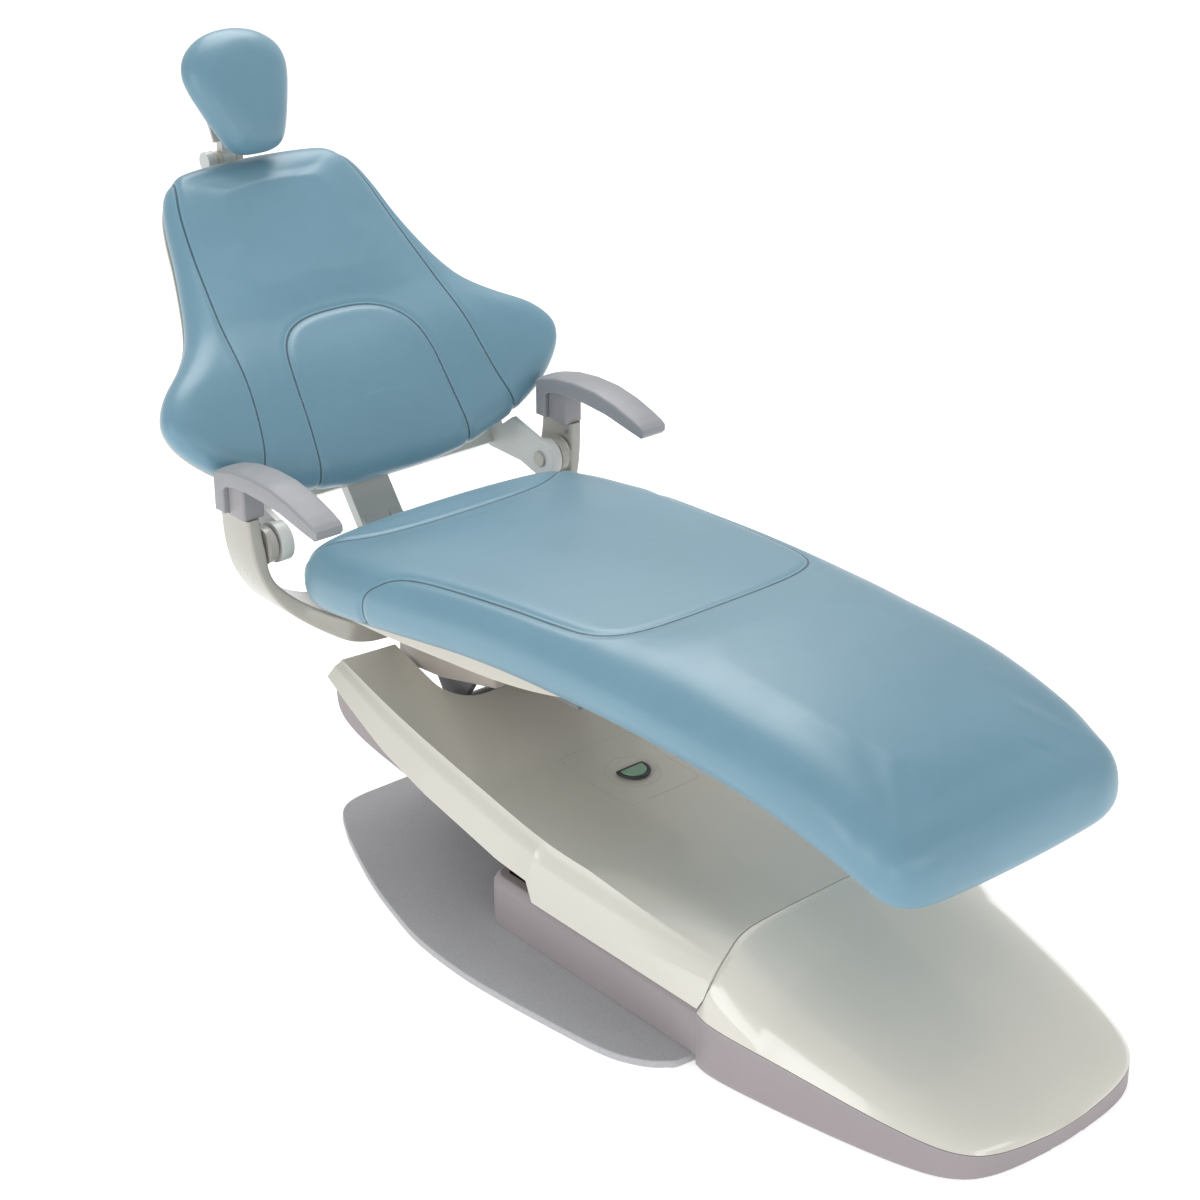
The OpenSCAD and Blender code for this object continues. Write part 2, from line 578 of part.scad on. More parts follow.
// ---- back cylinder under the seat, slotted rod end ----
module back_cylinder() {
  color("#3d4145") difference() {
    union() {
      translate([0, 352, 338]) rotate([-90, 0, 0]) cylinder(r = 16, h = 230, $fn = 64);
      translate([-11, 322, 330]) cube([22, 32, 16]);
      pin([330, 338], 10, -13, 13);
    }
    pin([330, 338], pin_r, -13, 13);
    translate([0, 366, 338]) rotate([-90, 0, 0]) cylinder(r = 9.6, h = 240, $fn = 48);
  }
  color("#b9bcc0") pin([330, 338], pin_r, -24, 24);
}
module back_rod() {
  color("#c9ccd0") {
    translate([0, 480, 338]) rotate([-90, 0, 0]) cylinder(r = 9, h = 284, $fn = 48);
    difference() {
      translate([-10, 763, 320]) cube([20, 48, 56]);
      side(-11, 11) polygon([[775, 331], [799, 331], [799, 369], [775, 369]]);
    }
  }
}

// ---- headrest ----
module headrest_guide() {
  color("#55585c") on_back() difference() {
    translate([-44, 452, -112]) cube([88, 96, 24]);
    translate([-32.4, 440, -104.4]) cube([64.8, 130, 12.8]);
  }
}
module headrest_bar() {
  color("#d9d8d0") on_back() difference() {
    union() {
      translate([-32, 430, -104]) cube([64, 166, 12]);
      both() translate([14, 616, -98]) rotate([0, 90, 0]) cylinder(r = 14, h = 12, $fn = 48);
      both() translate([14, 590, -104]) cube([12, 26, 12]);
    }
    translate([-40, 616, -98]) rotate([0, 90, 0]) cylinder(r = 5, h = 80, $fn = 48);
  }
}
HB = bk(616, -98);
HD = [H0[0] + sin(head_ang) * 62, H0[1] - cos(head_ang) * 62];
module headrest_link() {
  color("#b9bcb4") {
    difference() {
      union() {
        pin(HB, 13, -13.6, 13.6);
        pin(HD, 13, -13.6, 13.6);
        side(-13.6, 13.6) polygon([HB + [-9, 6], HB + [9, -6], HD + [9, -6], HD + [-9, 6]]);
      }
      pin(HB, 5, -30, 30);
      pin(HD, 5, -30, 30);
    }
    pin(HD, 5, -26, 26);
  }
}
module headrest_plate() {
  color("#d9d8d0") translate([0, H0[0], H0[1]]) rotate([head_ang, 0, 0]) difference() {
    union() {
      translate([-60, -70, -38.5]) cube([120, 140, 5]);
      both() translate([14, -14, -62]) cube([12, 28, 24]);
      both() translate([14, 0, -62]) rotate([0, 90, 0]) cylinder(r = 14, h = 12, $fn = 48);
    }
    translate([-40, 0, -62]) rotate([0, 90, 0]) cylinder(r = 5 + run, h = 80, $fn = 48);
  }
}
head_line = [[0, -1], [0.3, -0.98], [0.52, -0.88], [0.66, -0.66], [0.78, -0.35], [0.9, 0],
  [1, 0.35], [0.95, 0.65], [0.74, 0.88], [0.42, 0.985], [0, 1]];
module headrest_cushion() {
  line = loop(whole([for (p = head_line) [p[0] * head_hw, p[1] * head_hh]]), 2);
  color("#6f9bb0") translate([0, H0[0], H0[1]]) rotate([head_ang, 0, 0])
    skin([for (r = pillow(line, [0, 5], head_half, 1.2)) [for (p = r) p]]);
}
module headrest_knob() {
  color("#3d4145") {
    pin(HB, 5 - run, -44, 26);
    pin(HB, 16, -44, -27);
    side(-43, -34) polygon([HB + [-5, 0], HB + [5, 0], HB + [5, -42], HB + [-5, -42]]);
  }
}

base_plate();
base_frame();
lift_shaft();
link_shaft();
base_skirt();
nose_cover();
nose_skirt();
pump_tray();
pump_motor();
fluid_reservoir();
valve_block();
control_box();
lift_arm();
lift_cover();
lift_under_cover();
switch_bezel();
switch_button();
parallel_link();
lift_cylinder();
lift_rod();
carriage_frame();
carriage_shaft();
carriage_link_pin();
carriage_shroud();
seat_frame();
seat_pan();
seat_cushion();
sling_arm_right();
sling_arm_left();
back_pivot_right();
back_pivot_left();
arm_socket_right();
arm_socket_left();
arm_pad_right();
arm_pad_left();
sling_screws();
back_frame();
back_shell();
back_cushion();
back_cylinder();
back_rod();
headrest_guide();
headrest_bar();
headrest_link();
headrest_plate();
headrest_cushion();
headrest_knob();
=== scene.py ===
"""Dental chair: upholstery, covers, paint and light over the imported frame.

X is across the chair, Y runs from the foot end to the head end, and Z is up. Outlines and tables are in
millimetres; Blender and the frame work in metres.
"""
import math
import bpy
import bmesh
import numpy as np
from mathutils import Matrix, Vector


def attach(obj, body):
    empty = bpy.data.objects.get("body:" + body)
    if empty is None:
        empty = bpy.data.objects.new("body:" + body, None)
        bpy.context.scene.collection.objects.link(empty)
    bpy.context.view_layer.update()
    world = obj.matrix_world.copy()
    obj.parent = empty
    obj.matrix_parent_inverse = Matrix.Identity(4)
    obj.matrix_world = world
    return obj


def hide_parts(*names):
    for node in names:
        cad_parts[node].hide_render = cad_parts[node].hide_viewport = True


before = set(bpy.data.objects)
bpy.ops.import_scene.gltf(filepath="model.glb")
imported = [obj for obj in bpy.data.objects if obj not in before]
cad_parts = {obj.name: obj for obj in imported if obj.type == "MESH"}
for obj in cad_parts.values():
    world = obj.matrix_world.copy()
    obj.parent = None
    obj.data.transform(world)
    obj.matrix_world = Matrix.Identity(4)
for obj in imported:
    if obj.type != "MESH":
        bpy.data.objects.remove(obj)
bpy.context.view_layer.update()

MM = 0.001
scene = bpy.context.scene

# ---------------- lines and grids


def curve(table, x):
    """Smooth lookup in a table of (x, y)."""
    t = np.asarray(table, float)
    xs, ys, n = t[:, 0], t[:, 1], len(t)
    a, b = np.maximum(np.arange(n) - 1, 0), np.minimum(np.arange(n) + 1, n - 1)
    m = (ys[b] - ys[a]) / (xs[b] - xs[a])
    x = np.clip(np.asarray(x, float), xs[0], xs[-1])
    i = np.clip(np.searchsorted(xs, x, side="right") - 1, 0, n - 2)
    h = xs[i + 1] - xs[i]
    s = (x - xs[i]) / h
    return ((2 * s**3 - 3 * s**2 + 1) * ys[i] + (s**3 - 2 * s**2 + s) * h * m[i]
            + (3 * s**2 - 2 * s**3) * ys[i + 1] + (s**3 - s**2) * h * m[i + 1])


def straight(table, x):
    """Straight-line lookup in a table of (x, y)."""
    p = np.array(table, float)
    return np.interp(x, p[:, 0], p[:, 1])


def mix(a, b, t):
    return a + (b - a) * t


def loop(points, k=8):
    """Closed smooth loop through the points, k steps to each."""
    p = np.asarray(points, float)
    a, b, c, d = np.roll(p, 1, 0), p, np.roll(p, -1, 0), np.roll(p, -2, 0)
    t = (np.arange(k) / k)[None, :, None]
    a, b, c, d = (v[:, None, :] for v in (a, b, c, d))
    out = 0.5 * (2 * b + (c - a) * t + (2 * a - 5 * b + 4 * c - d) * t**2 + (3 * b - a - 3 * c + d) * t**3)
    return out.reshape(-1, p.shape[1])


def open_line(points, k):
    """Open smooth line through the points, k steps to each."""
    p = np.asarray(points, float)
    t = np.arange(len(p), dtype=float)
    u = np.linspace(0, len(p) - 1, (len(p) - 1) * k + 1)
    return np.stack([curve(np.c_[t, p[:, i]], u) for i in range(p.shape[1])], 1)


def whole(half):
    """A closed outline from its half at x >= 0, which starts and ends on the centre line."""
    return list(half) + [(-x, y) for x, y in half[-2:0:-1]]


def across(half):
    """An open line over the centre from its half at x >= 0."""
    return [(-x, y) for x, y in half[:0:-1]] + half


def even(line, n, closed=True):
    """A line cut into equal steps: n of them round a closed line, or n points along an open one."""
    p = np.vstack([line, line[:1]]) if closed else line
    s = np.r_[0, np.cumsum(np.linalg.norm(np.diff(p, axis=0), axis=1))]
    u = np.linspace(0, s[-1], n, endpoint=not closed)
    return np.stack([np.interp(u, s, p[:, i]) for i in range(p.shape[1])], 1)


def to_line(points, line, closed=True):
    """Signed distance of 2-D points from a line; positive to its left."""
    a = np.asarray(line, float)
    b = np.roll(a, -1, 0) if closed else a[1:]
    a = a if closed else a[:-1]
    out = np.empty(len(points))
    e = b - a
    ee = np.maximum((e**2).sum(1), 1e-12)
    batch = 4000
    for k in range(0, len(points), batch):
        p = points[k:k + batch, None, :]
        t = np.clip(((p - a) * e).sum(2) / ee, 0, 1)
        v = p - (a + t[..., None] * e)
        d = np.sqrt((v**2).sum(2))
        j = d.argmin(1)
        r = np.arange(len(j))
        side = e[j, 0] * v[r, j, 1] - e[j, 1] * v[r, j, 0]
        out[k:k + batch] = np.where(side >= 0, d[r, j], -d[r, j])
    return out


def ring_box(w, h, r, n):
    """Rounded rectangle w by h with corner radius r, n steps a corner."""
    x, y = w / 2 - r, h / 2 - r
    out = []
    for cx, cy, start in ((x, y, 0), (-x, y, 90), (-x, -y, 180), (x, -y, 270)):
        for i in range(n + 1):
            a = math.radians(start + 90 * i / n)
            out.append((cx + r * math.cos(a), cy + r * math.sin(a)))
    return np.array(out)


def circle(x, y, r):
    a = np.linspace(0, 2 * math.pi, 40, endpoint=False)
    return np.c_[x + r * np.cos(a), y + r * np.sin(a)]


def dee(r, flat):
    """A circle of radius r, cut off straight at a distance flat below its centre."""
    a0 = math.asin(-flat / r)
    a = np.linspace(a0, math.pi - a0, 40)
    return np.c_[r * np.cos(a), r * np.sin(a)]


def grid_faces(m, n, closed=False, base=0, flip=False):
    """Quads over a grid of m rows by n columns; closed joins the last column to the first."""
    i, j = np.meshgrid(np.arange(m - 1), np.arange(n if closed else n - 1), indexing="ij")
    k = (j + 1) % n
    f = np.stack([i * n + j, i * n + k, (i + 1) * n + k, (i + 1) * n + j], -1).reshape(-1, 4) + base
    return f[:, ::-1] if flip else f


# ---------------- meshes


def mesh(name, verts, faces, merge=0.02):
    """A clean mesh from points in millimetres; points closer than merge become one."""
    me = bpy.data.meshes.new(name)
    me.from_pydata((np.asarray(verts, float) * MM).tolist(), [], [list(map(int, f)) for f in faces])
    bm = bmesh.new()
    bm.from_mesh(me)
    bmesh.ops.remove_doubles(bm, verts=bm.verts, dist=merge * MM)
    bmesh.ops.dissolve_degenerate(bm, edges=bm.edges, dist=merge * MM)
    bmesh.ops.recalc_face_normals(bm, faces=bm.faces)
    bm.to_mesh(me)
    bm.free()
    return me


def capped(name, rings):
    """A solid skinned over equal closed rings, with its two ends filled."""
    v = np.array(rings, float)
    m, n = v.shape[:2]
    ends = [list(range(n)), list(range((m - 1) * n, m * n))]
    return mesh(name, v.reshape(-1, 3), list(grid_faces(m, n, True)) + ends)


def prism_x(name, side, x0, x1):
    """A straight prism along X, from its (y, z) outline."""
    return capped(name, [[(x, y, z) for y, z in side] for x in (x0, x1)])


def prism_z(name, outline, z0, z1):
    """A straight prism along Z, from its (x, y) outline."""
    return capped(name, [[(x, y, z) for x, y in outline] for z in (z0, z1)])


def walled(outer, inner):
    """A thin closed wall between two grids."""
    m, n = outer.shape[:2]
    o = m * n
    idx = np.arange(o).reshape(m, n)
    rim = np.r_[idx[0], idx[1:, -1], idx[-1, -2::-1], idx[-2:0:-1, 0]]
    nxt = np.roll(rim, -1)
    f = np.vstack([grid_faces(m, n), grid_faces(m, n, base=o, flip=True),
                   np.stack([rim, rim + o, nxt + o, nxt], 1)])
    return mesh("wall", np.vstack([outer.reshape(-1, 3), inner.reshape(-1, 3)]), f)


def lathe(profile, place, n=72):
    """Turned about local Z from (radius, height)."""
    a = np.linspace(0, 2 * math.pi, n, endpoint=False)
    p = np.asarray(profile, float)
    v = np.stack([p[:, None, 0] * np.cos(a), p[:, None, 0] * np.sin(a), np.repeat(p[:, 1:2], n, 1)], -1)
    me = mesh("lathe", v.reshape(-1, 3), grid_faces(len(p), n, True))
    me.transform(place)
    return me


def baked(ob):
    """The object's mesh with its modifiers applied."""
    bpy.context.view_layer.update()
    return bpy.data.meshes.new_from_object(ob.evaluated_get(bpy.context.evaluated_depsgraph_get()))


def add_modifiers(ob, mods):
    for kind, settings in mods:
        m = ob.modifiers.new(kind, kind)
        for k, v in settings.items():
            setattr(m, k, v)


def modified(me, *mods):
    """A mesh after modifiers given as (type, {settings})."""
    ob = bpy.data.objects.new("work", me)
    scene.collection.objects.link(ob)
    add_modifiers(ob, mods)
    out = baked(ob)
    bpy.data.objects.remove(ob)
    return out


def plate(loops, thick, edge, place):
    """A flat plate with rounded edges, cut from closed 2-D loops; holes are loops inside the first."""
    cu = bpy.data.curves.new("plate", "CURVE")
    cu.dimensions, cu.fill_mode = "2D", "BOTH"
    cu.extrude, cu.bevel_depth, cu.offset = (thick / 2 - edge) * MM, edge * MM, -edge * MM
    cu.bevel_resolution = 3
    for pts in loops:
        sp = cu.splines.new("POLY")
        sp.points.add(len(pts) - 1)
        co = np.c_[np.asarray(pts) * MM, np.zeros(len(pts)), np.ones(len(pts))]
        sp.points.foreach_set("co", co.ravel())
        sp.use_cyclic_u = True
    ob = bpy.data.objects.new("plate", cu)
    scene.collection.objects.link(ob)
    me = baked(ob)
    bpy.data.objects.remove(ob)
    me.transform(place)
    return me


def joined(*meshes, weld=0.0):
    """Several meshes as one; with weld, points closer than that many millimetres become one."""
    bm = bmesh.new()
    for me in meshes:
        bm.from_mesh(me)
    if weld:
        bmesh.ops.remove_doubles(bm, verts=bm.verts, dist=weld * MM)
        bmesh.ops.recalc_face_normals(bm, faces=bm.faces)
    out = bpy.data.meshes.new("joined")
    bm.to_mesh(out)
    bm.free()
    return out


def mirrored(me):
    """The mesh of the other side of the chair."""
    out = me.copy()
    out.transform(Matrix.Scale(-1, 4, (1, 0, 0)))
    out.flip_normals()
    return out


def cut(me, *tools):
    """The mesh with each tool's volume taken out of it."""
    for tool in tools:
        t = bpy.data.objects.new("tool", tool)
        scene.collection.objects.link(t)
        me = modified(me, ("BOOLEAN", {"operation": "DIFFERENCE", "solver": "EXACT", "object": t}))
        bpy.data.objects.remove(t)
    return me


def at(x, y, z):
    """A move, in millimetres."""
    return Matrix.Translation(Vector((x, y, z)) * MM)


def turn(deg, axis):
    return Matrix.Rotation(math.radians(deg), 4, axis)


# stands a plate drawn in X and Y up in the YZ plane
UPRIGHT = Matrix(((0, 0, 1, 0), (1, 0, 0, 0), (0, 1, 0, 0), (0, 0, 0, 1)))


def piece(name, me, mat, body, node, sharp=None):
    """A finished piece: shaded, painted, riding on a body and standing for one CAD node."""
    ob = bpy.data.objects.new(name, me)
    scene.collection.objects.link(ob)
    me.name = name
    me.materials.clear()
    me.materials.append(mat)
    me.polygons.foreach_set("use_smooth", np.ones(len(me.polygons), bool))
    if sharp:
        me.set_sharp_from_angle(angle=math.radians(sharp))
    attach(ob, body)
    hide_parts(node)
    return ob


def pair(name, me, mat, body, node, sharp):
    """The left piece and its mirror image; {} in a name stands for left or right."""
    out = []
    for side, half in (("left", me), ("right", mirrored(me))):
        out.append(piece(name.format(side), half, mat, body.format(side), node.format(side), sharp))
    return out


# ---------------- materials


def srgb(r, g, b):
    """A colour given in 0-255 sRGB as the linear colour that shaders take."""
    return tuple(((c / 255) / 12.92 if c / 255 <= 0.04045 else ((c / 255 + 0.055) / 1.055) ** 2.4)
                 for c in (r, g, b)) + (1.0,)


def tint(c, k):
    """The colour made k times as light."""
    return tuple(min(1.0, v * k) for v in c[:3]) + (1.0,)


class Nodes:
    """One material's node tree, with a short call for each kind of node used here."""

    def __init__(self, name):
        self.mat = bpy.data.materials.new(name)
        self.mat.use_nodes = True
        self.t = self.mat.node_tree
        self.t.nodes.clear()
        out = self.add("ShaderNodeOutputMaterial")
        self.bsdf = self.add("ShaderNodeBsdfPrincipled")
        self.link(self.bsdf.outputs[0], out.inputs["Surface"])
        self.obj = self.add("ShaderNodeTexCoord").outputs["Object"]

    def add(self, kind, **props):
        n = self.t.nodes.new(kind)
        for k, v in props.items():
            setattr(n, k, v)
        return n

    def link(self, a, b):
        self.t.links.new(a, b)

    def set(self, **sockets):
        """Constant values for the shader's own sockets; an underscore stands for a space."""
        for k, v in sockets.items():
            self.bsdf.inputs[k.replace("_", " ")].default_value = v

    def math(self, op, a, b=0.0):
        n = self.add("ShaderNodeMath", operation=op)
        for i, v in enumerate((a, b)):
            if isinstance(v, (int, float)):
                n.inputs[i].default_value = v
            else:
                self.link(v, n.inputs[i])
        return n.outputs[0]

    def noise(self, scale, detail=3.0, rough=0.5, stretch=None):
        v = self.obj
        if stretch:
            m = self.add("ShaderNodeMapping")
            m.inputs["Scale"].default_value = stretch
            self.link(v, m.inputs["Vector"])
            v = m.outputs[0]
        n = self.add("ShaderNodeTexNoise")
        n.inputs["Scale"].default_value = scale
        n.inputs["Detail"].default_value = detail
        n.inputs["Roughness"].default_value = rough
        self.link(v, n.inputs["Vector"])
        return n.outputs["Fac"]

    def cells(self, scale):
        n = self.add("ShaderNodeTexVoronoi", feature="SMOOTH_F1")
        n.inputs["Scale"].default_value = scale
        self.link(self.obj, n.inputs["Vector"])
        return n.outputs["Distance"]

    def ramp(self, fac, lo, hi, a=0.3, b=0.7, smooth=False):
        """lo to hi as fac goes from a to b."""
        n = self.add("ShaderNodeMapRange", interpolation_type="SMOOTHSTEP" if smooth else "LINEAR")
        n.clamp = True
        self.link(fac, n.inputs["Value"])
        for k, v in (("From Min", a), ("From Max", b), ("To Min", lo), ("To Max", hi)):
            n.inputs[k].default_value = v
        return n.outputs["Result"]

    def blend(self, fac, a, b):
        """Colour a where fac is 0 and b where it is 1."""
        n = self.add("ShaderNodeMix", data_type="RGBA")
        self.link(fac, n.inputs[0])
        for s, v in zip([s for s in n.inputs if s.type == "RGBA"], (a, b)):
            if isinstance(v, tuple):
                s.default_value = v
            else:
                self.link(v, s)
        return [s for s in n.outputs if s.type == "RGBA"][0]

    def bump(self, height, distance, normal=None):
        n = self.add("ShaderNodeBump")
        n.inputs["Distance"].default_value = distance
        n.inputs["Strength"].default_value = 1.0
        self.link(height, n.inputs["Height"])
        if normal is not None:
            self.link(normal, n.inputs["Normal"])
        return n.outputs["Normal"]


def finish(name, colour, rough, metallic=0.0, coat=0.0, coat_rough=0.08, mottle=0.05, grain=900.0,
           depth=0.00006, wear=0.12, brushed=False, orange=0.0, speckle=0.0, relief=None):
    """A moulded, painted or metal surface with its own grain, mottle, wear and roughness."""
    n = Nodes(name)
    big = n.ramp(n.noise(5.0, 4.0, 0.55), 0.0, 1.0)
    col = n.blend(big, tint(colour, 1 - mottle), tint(colour, 1 + mottle))
    if speckle:
        light = n.ramp(n.noise(900.0, 2.0, 0.7), 0.0, speckle, 0.42, 0.66)
        dark = n.ramp(n.noise(620.0, 2.0, 0.7), 0.0, speckle, 0.5, 0.7)
        col = n.blend(light, col, tint(colour, 1.9))
        col = n.blend(dark, col, tint(colour, 0.42))
    edge = n.ramp(n.add("ShaderNodeNewGeometry").outputs["Pointiness"], 0.0, wear, 0.51, 0.58)
    scuff = n.math("MULTIPLY", edge, n.ramp(n.noise(60.0, 4.0, 0.6), 0.4, 1.0))
    n.link(n.blend(scuff, col, tint(colour, 1.45)), n.bsdf.inputs["Base Color"])
    fine = n.noise(grain, 3.0, 0.6, (1.0, 1.0, 0.04) if brushed else None)
    smudge = n.ramp(n.noise(14.0, 5.0, 0.6), rough * 0.86, rough * 1.16)
    n.link(n.math("ADD", smudge, n.ramp(fine, -0.02, 0.02)), n.bsdf.inputs["Roughness"])
    nrm = n.bump(fine, depth)
    if orange:
        nrm = n.bump(n.noise(110.0, 2.0, 0.5), orange, nrm)
    if relief:
        nrm = n.bump(relief(n), 0.0006, nrm)
    n.link(nrm, n.bsdf.inputs["Normal"])
    n.set(Metallic=metallic, Coat_Weight=coat, Coat_Roughness=coat_rough)
    return n.mat


def vinyl(name, colour):
    """Coated upholstery: fine pebble grain, soft mottle, and sewn seams from the seam attribute, with painted
    shade along each seam groove and a painted highlight on the lips beside it.
    """
    n = Nodes(name)
    big, mid, cells = n.noise(3.2, 3.0, 0.5), n.noise(38.0, 4.0, 0.55), n.cells(1150.0)
    dist = n.math("ABSOLUTE", n.add("ShaderNodeAttribute", attribute_name="seam").outputs["Fac"])
    # painted shade: the seam line is darkened where its groove would lie in shade
    seam_groove_shade = n.ramp(dist, 0.86, 0.0, 0.35, 1.9, True)
    lip = n.math("MULTIPLY", n.ramp(dist, 0.0, 1.0, 1.2, 2.6, True), n.ramp(dist, 1.0, 0.0, 2.6, 5.6, True))
    col = n.blend(n.ramp(big, 0.0, 1.0), tint(colour, 0.95), tint(colour, 1.05))
    col = n.blend(n.ramp(mid, 0.0, 0.18, 0.35, 0.75), col, tint(colour, 1.16))
    col = n.blend(n.ramp(cells, 0.16, 0.0, 0.0, 0.45), col, tint(colour, 0.72))
    # painted highlight: the raised lips beside each seam are made lighter, as if catching the light
    col = n.blend(n.math("MULTIPLY", lip, 0.34), col, tint(colour, 1.5))
    # lay the seam's painted shade over the rest
    col = n.blend(seam_groove_shade, col, tint(colour, 0.26))
    n.link(col, n.bsdf.inputs["Base Color"])
    r = n.math("ADD", n.ramp(n.noise(9.0, 5.0, 0.6), 0.33, 0.41), n.ramp(cells, -0.03, 0.04, 0.0, 0.6))
    n.link(r, n.bsdf.inputs["Roughness"])
    groove = n.math("ADD", n.ramp(dist, -1.0, 0.0, 0.0, 2.2, True), n.math("MULTIPLY", lip, 0.35))
    nrm = n.bump(groove, 0.0016)
    nrm = n.bump(cells, 0.00007, nrm)
    nrm = n.bump(mid, 0.0002, nrm)
    n.link(nrm, n.bsdf.inputs["Normal"])
    n.set(Coat_Weight=0.2, Coat_Roughness=0.3, Sheen_Weight=0.12, Sheen_Roughness=0.5, IOR=1.48)
    return n.mat


def panel_lines(n):
    """Scored lines on the cover: a rounded access panel, and a ring round the stop switch. 0 in the score."""
    sep = n.add("ShaderNodeSeparateXYZ")
    n.link(n.obj, sep.inputs[0])
    x, y = n.math("ABSOLUTE", sep.outputs[0]), sep.outputs[1]
    half_x, half_y, corner = 0.060, 0.072, 0.012
    dx = n.math("MAXIMUM", n.math("SUBTRACT", x, half_x), 0.0)
    dy = n.math("MAXIMUM", n.math("SUBTRACT", n.math("ABSOLUTE", n.math("SUBTRACT", y, 0.206)), half_y), 0.0)
    off = n.math("SQRT", n.math("ADD", n.math("MULTIPLY", dx, dx), n.math("MULTIPLY", dy, dy)))
    box = n.math("ABSOLUTE", n.math("SUBTRACT", off, corner))
    r2 = n.math("ADD", n.math("MULTIPLY", x, x), n.math("POWER", n.math("SUBTRACT", y, 0.198), 2.0))
    ring = n.math("ABSOLUTE", n.math("SUBTRACT", n.math("SQRT", r2), 0.043))
    return n.math("MINIMUM", n.math("DIVIDE", n.math("MINIMUM", box, ring), 0.0011), 1.0)


BLUE = srgb(101, 141, 159)
IVORY = srgb(208, 206, 196)
GLOSS = dict(coat=0.55, coat_rough=0.06, mottle=0.015, grain=500, depth=0.00001, wear=0.05, orange=0.00002)
METAL = dict(metallic=1.0, grain=1800, brushed=True)

M = {
    "vinyl": vinyl("upholstery_vinyl", BLUE),
    "ivory": finish("ivory_gloss", IVORY, 0.22, **GLOSS),
    "cover": finish("cover_gloss", IVORY, 0.22, relief=panel_lines, **GLOSS),
    "pan": finish("ivory_satin", srgb(194, 190, 179), 0.38, coat=0.1, mottle=0.02, wear=0.08),
    "mauve": finish("mauve_matte", srgb(153, 145, 147), 0.55, mottle=0.03, grain=1400, depth=0.00012,
                    wear=0.15),
    "plate": finish("plate_powder", srgb(170, 170, 173), 0.5, grain=420, depth=0.00035, wear=0.3,
                    speckle=0.32),
    "frame": finish("frame_paint", srgb(112, 114, 117), 0.5, mottle=0.06, grain=600, depth=0.00012,
                    wear=0.3),
    "sling": finish("sling_paint", srgb(168, 166, 158), 0.3, coat=0.3, coat_rough=0.15, mottle=0.02,
                    grain=500, depth=0.00003, wear=0.08, orange=0.00003),
    "yoke": finish("yoke_paint", srgb(192, 196, 193), 0.36, coat=0.2, coat_rough=0.2, mottle=0.03,
                   grain=500, depth=0.00004, orange=0.00003),
    "steel": finish("turned_steel", srgb(178, 180, 184), 0.3, mottle=0.04, depth=0.00002, **METAL),
    "chrome": finish("chrome_rod", srgb(205, 207, 210), 0.12, mottle=0.02, depth=0.00001, **METAL),
    "barrel": finish("barrel_paint", srgb(62, 66, 70), 0.42, mottle=0.08, grain=500, depth=0.0001,
                     wear=0.35),
    "shroud": finish("shroud_matte", srgb(170, 162, 155), 0.5, mottle=0.04, grain=1300, depth=0.0001,
                     wear=0.15),
    "pad": finish("pad_grey", srgb(144, 146, 150), 0.45, mottle=0.03, grain=1500, depth=0.00012),
    "socket": finish("socket_grey", srgb(144, 142, 145), 0.42, mottle=0.03, grain=1300, depth=0.0001),
    "dark": finish("dark_plastic", srgb(56, 58, 62), 0.45, mottle=0.08, grain=1200, depth=0.0001, wear=0.2),
    "green": finish("button_green", srgb(120, 168, 140), 0.25, coat=0.6, mottle=0.06, depth=0.00004),
    "tank": finish("tank_plastic", srgb(214, 215, 208), 0.4, grain=800, depth=0.00008),
}

# ---------------- upholstery

EDGE_STEPS = 9
CLOTH_FRAMES = 20
CLOTH_PRESSURE = 4.0
CLOTH_TUCK = 1.5
SMOOTH_STEPS = 26
FAR_FROM_SEAM = 14


def co_of(me):
    """Places of the mesh's points, in metres."""
    v = np.empty(len(me.vertices) * 3)
    me.vertices.foreach_get("co", v)
    return v.reshape(-1, 3)


def normals_of(me):
    v = np.empty(len(me.vertices) * 3)
    me.vertex_normals.foreach_get("vector", v)
    return v.reshape(-1, 3)


def round_edge(d, r, p):
    """0 at the outline, 1 at a distance r inside it, and round between; p of 2 is a circle."""
    return (1 - (1 - np.clip(d / r, 0, 1)) ** p) ** (1 / p)


def cushion(line, spine, top, bottom, r_top, r_bot, n_in):
    """A closed pad inside an outline: rings from the spine of its top, over its edge, to the spine below.

    top and bottom give the height at (x, y) and at a distance inside the outline.
    """
    v = spine(line) - line
    length = np.linalg.norm(v, axis=1)
    v /= length[:, None]
    tangent = np.roll(line, -1, 0) - np.roll(line, 1, 0)
    tangent /= np.linalg.norm(tangent, axis=1)[:, None]
    slant = np.maximum(np.abs(v[:, 0] * tangent[:, 1] - v[:, 1] * tangent[:, 0]), 0.45)

    def rings(radius):
        inset = radius * (1 - np.cos(np.radians(np.linspace(0, 90, EDGE_STEPS))))
        edge = [line + v * np.minimum(d / slant, length * (0.6 * k / (EDGE_STEPS - 1)))[:, None]
                for k, d in enumerate(inset)]
        start = np.minimum(radius / slant, length * 0.6)
        inner = [line + v * mix(start, length, t)[:, None] for t in np.linspace(0, 1, n_in + 1)[1:]]
        return np.array(edge + inner)

    def raised(rs, height):
        flat = rs.reshape(-1, 2)
        d = np.abs(to_line(flat, line))
        d[: len(line)] = 0
        return np.c_[flat, height(flat[:, 0], flat[:, 1], d)].reshape(len(rs), len(line), 3)

    up, down = raised(rings(r_top), top), raised(rings(r_bot), bottom)
    stack = np.concatenate([up[::-1], down[1:]])
    m, n = stack.shape[:2]
    return mesh("pad", stack.reshape(-1, 3), grid_faces(m, n, True), merge=0.3)


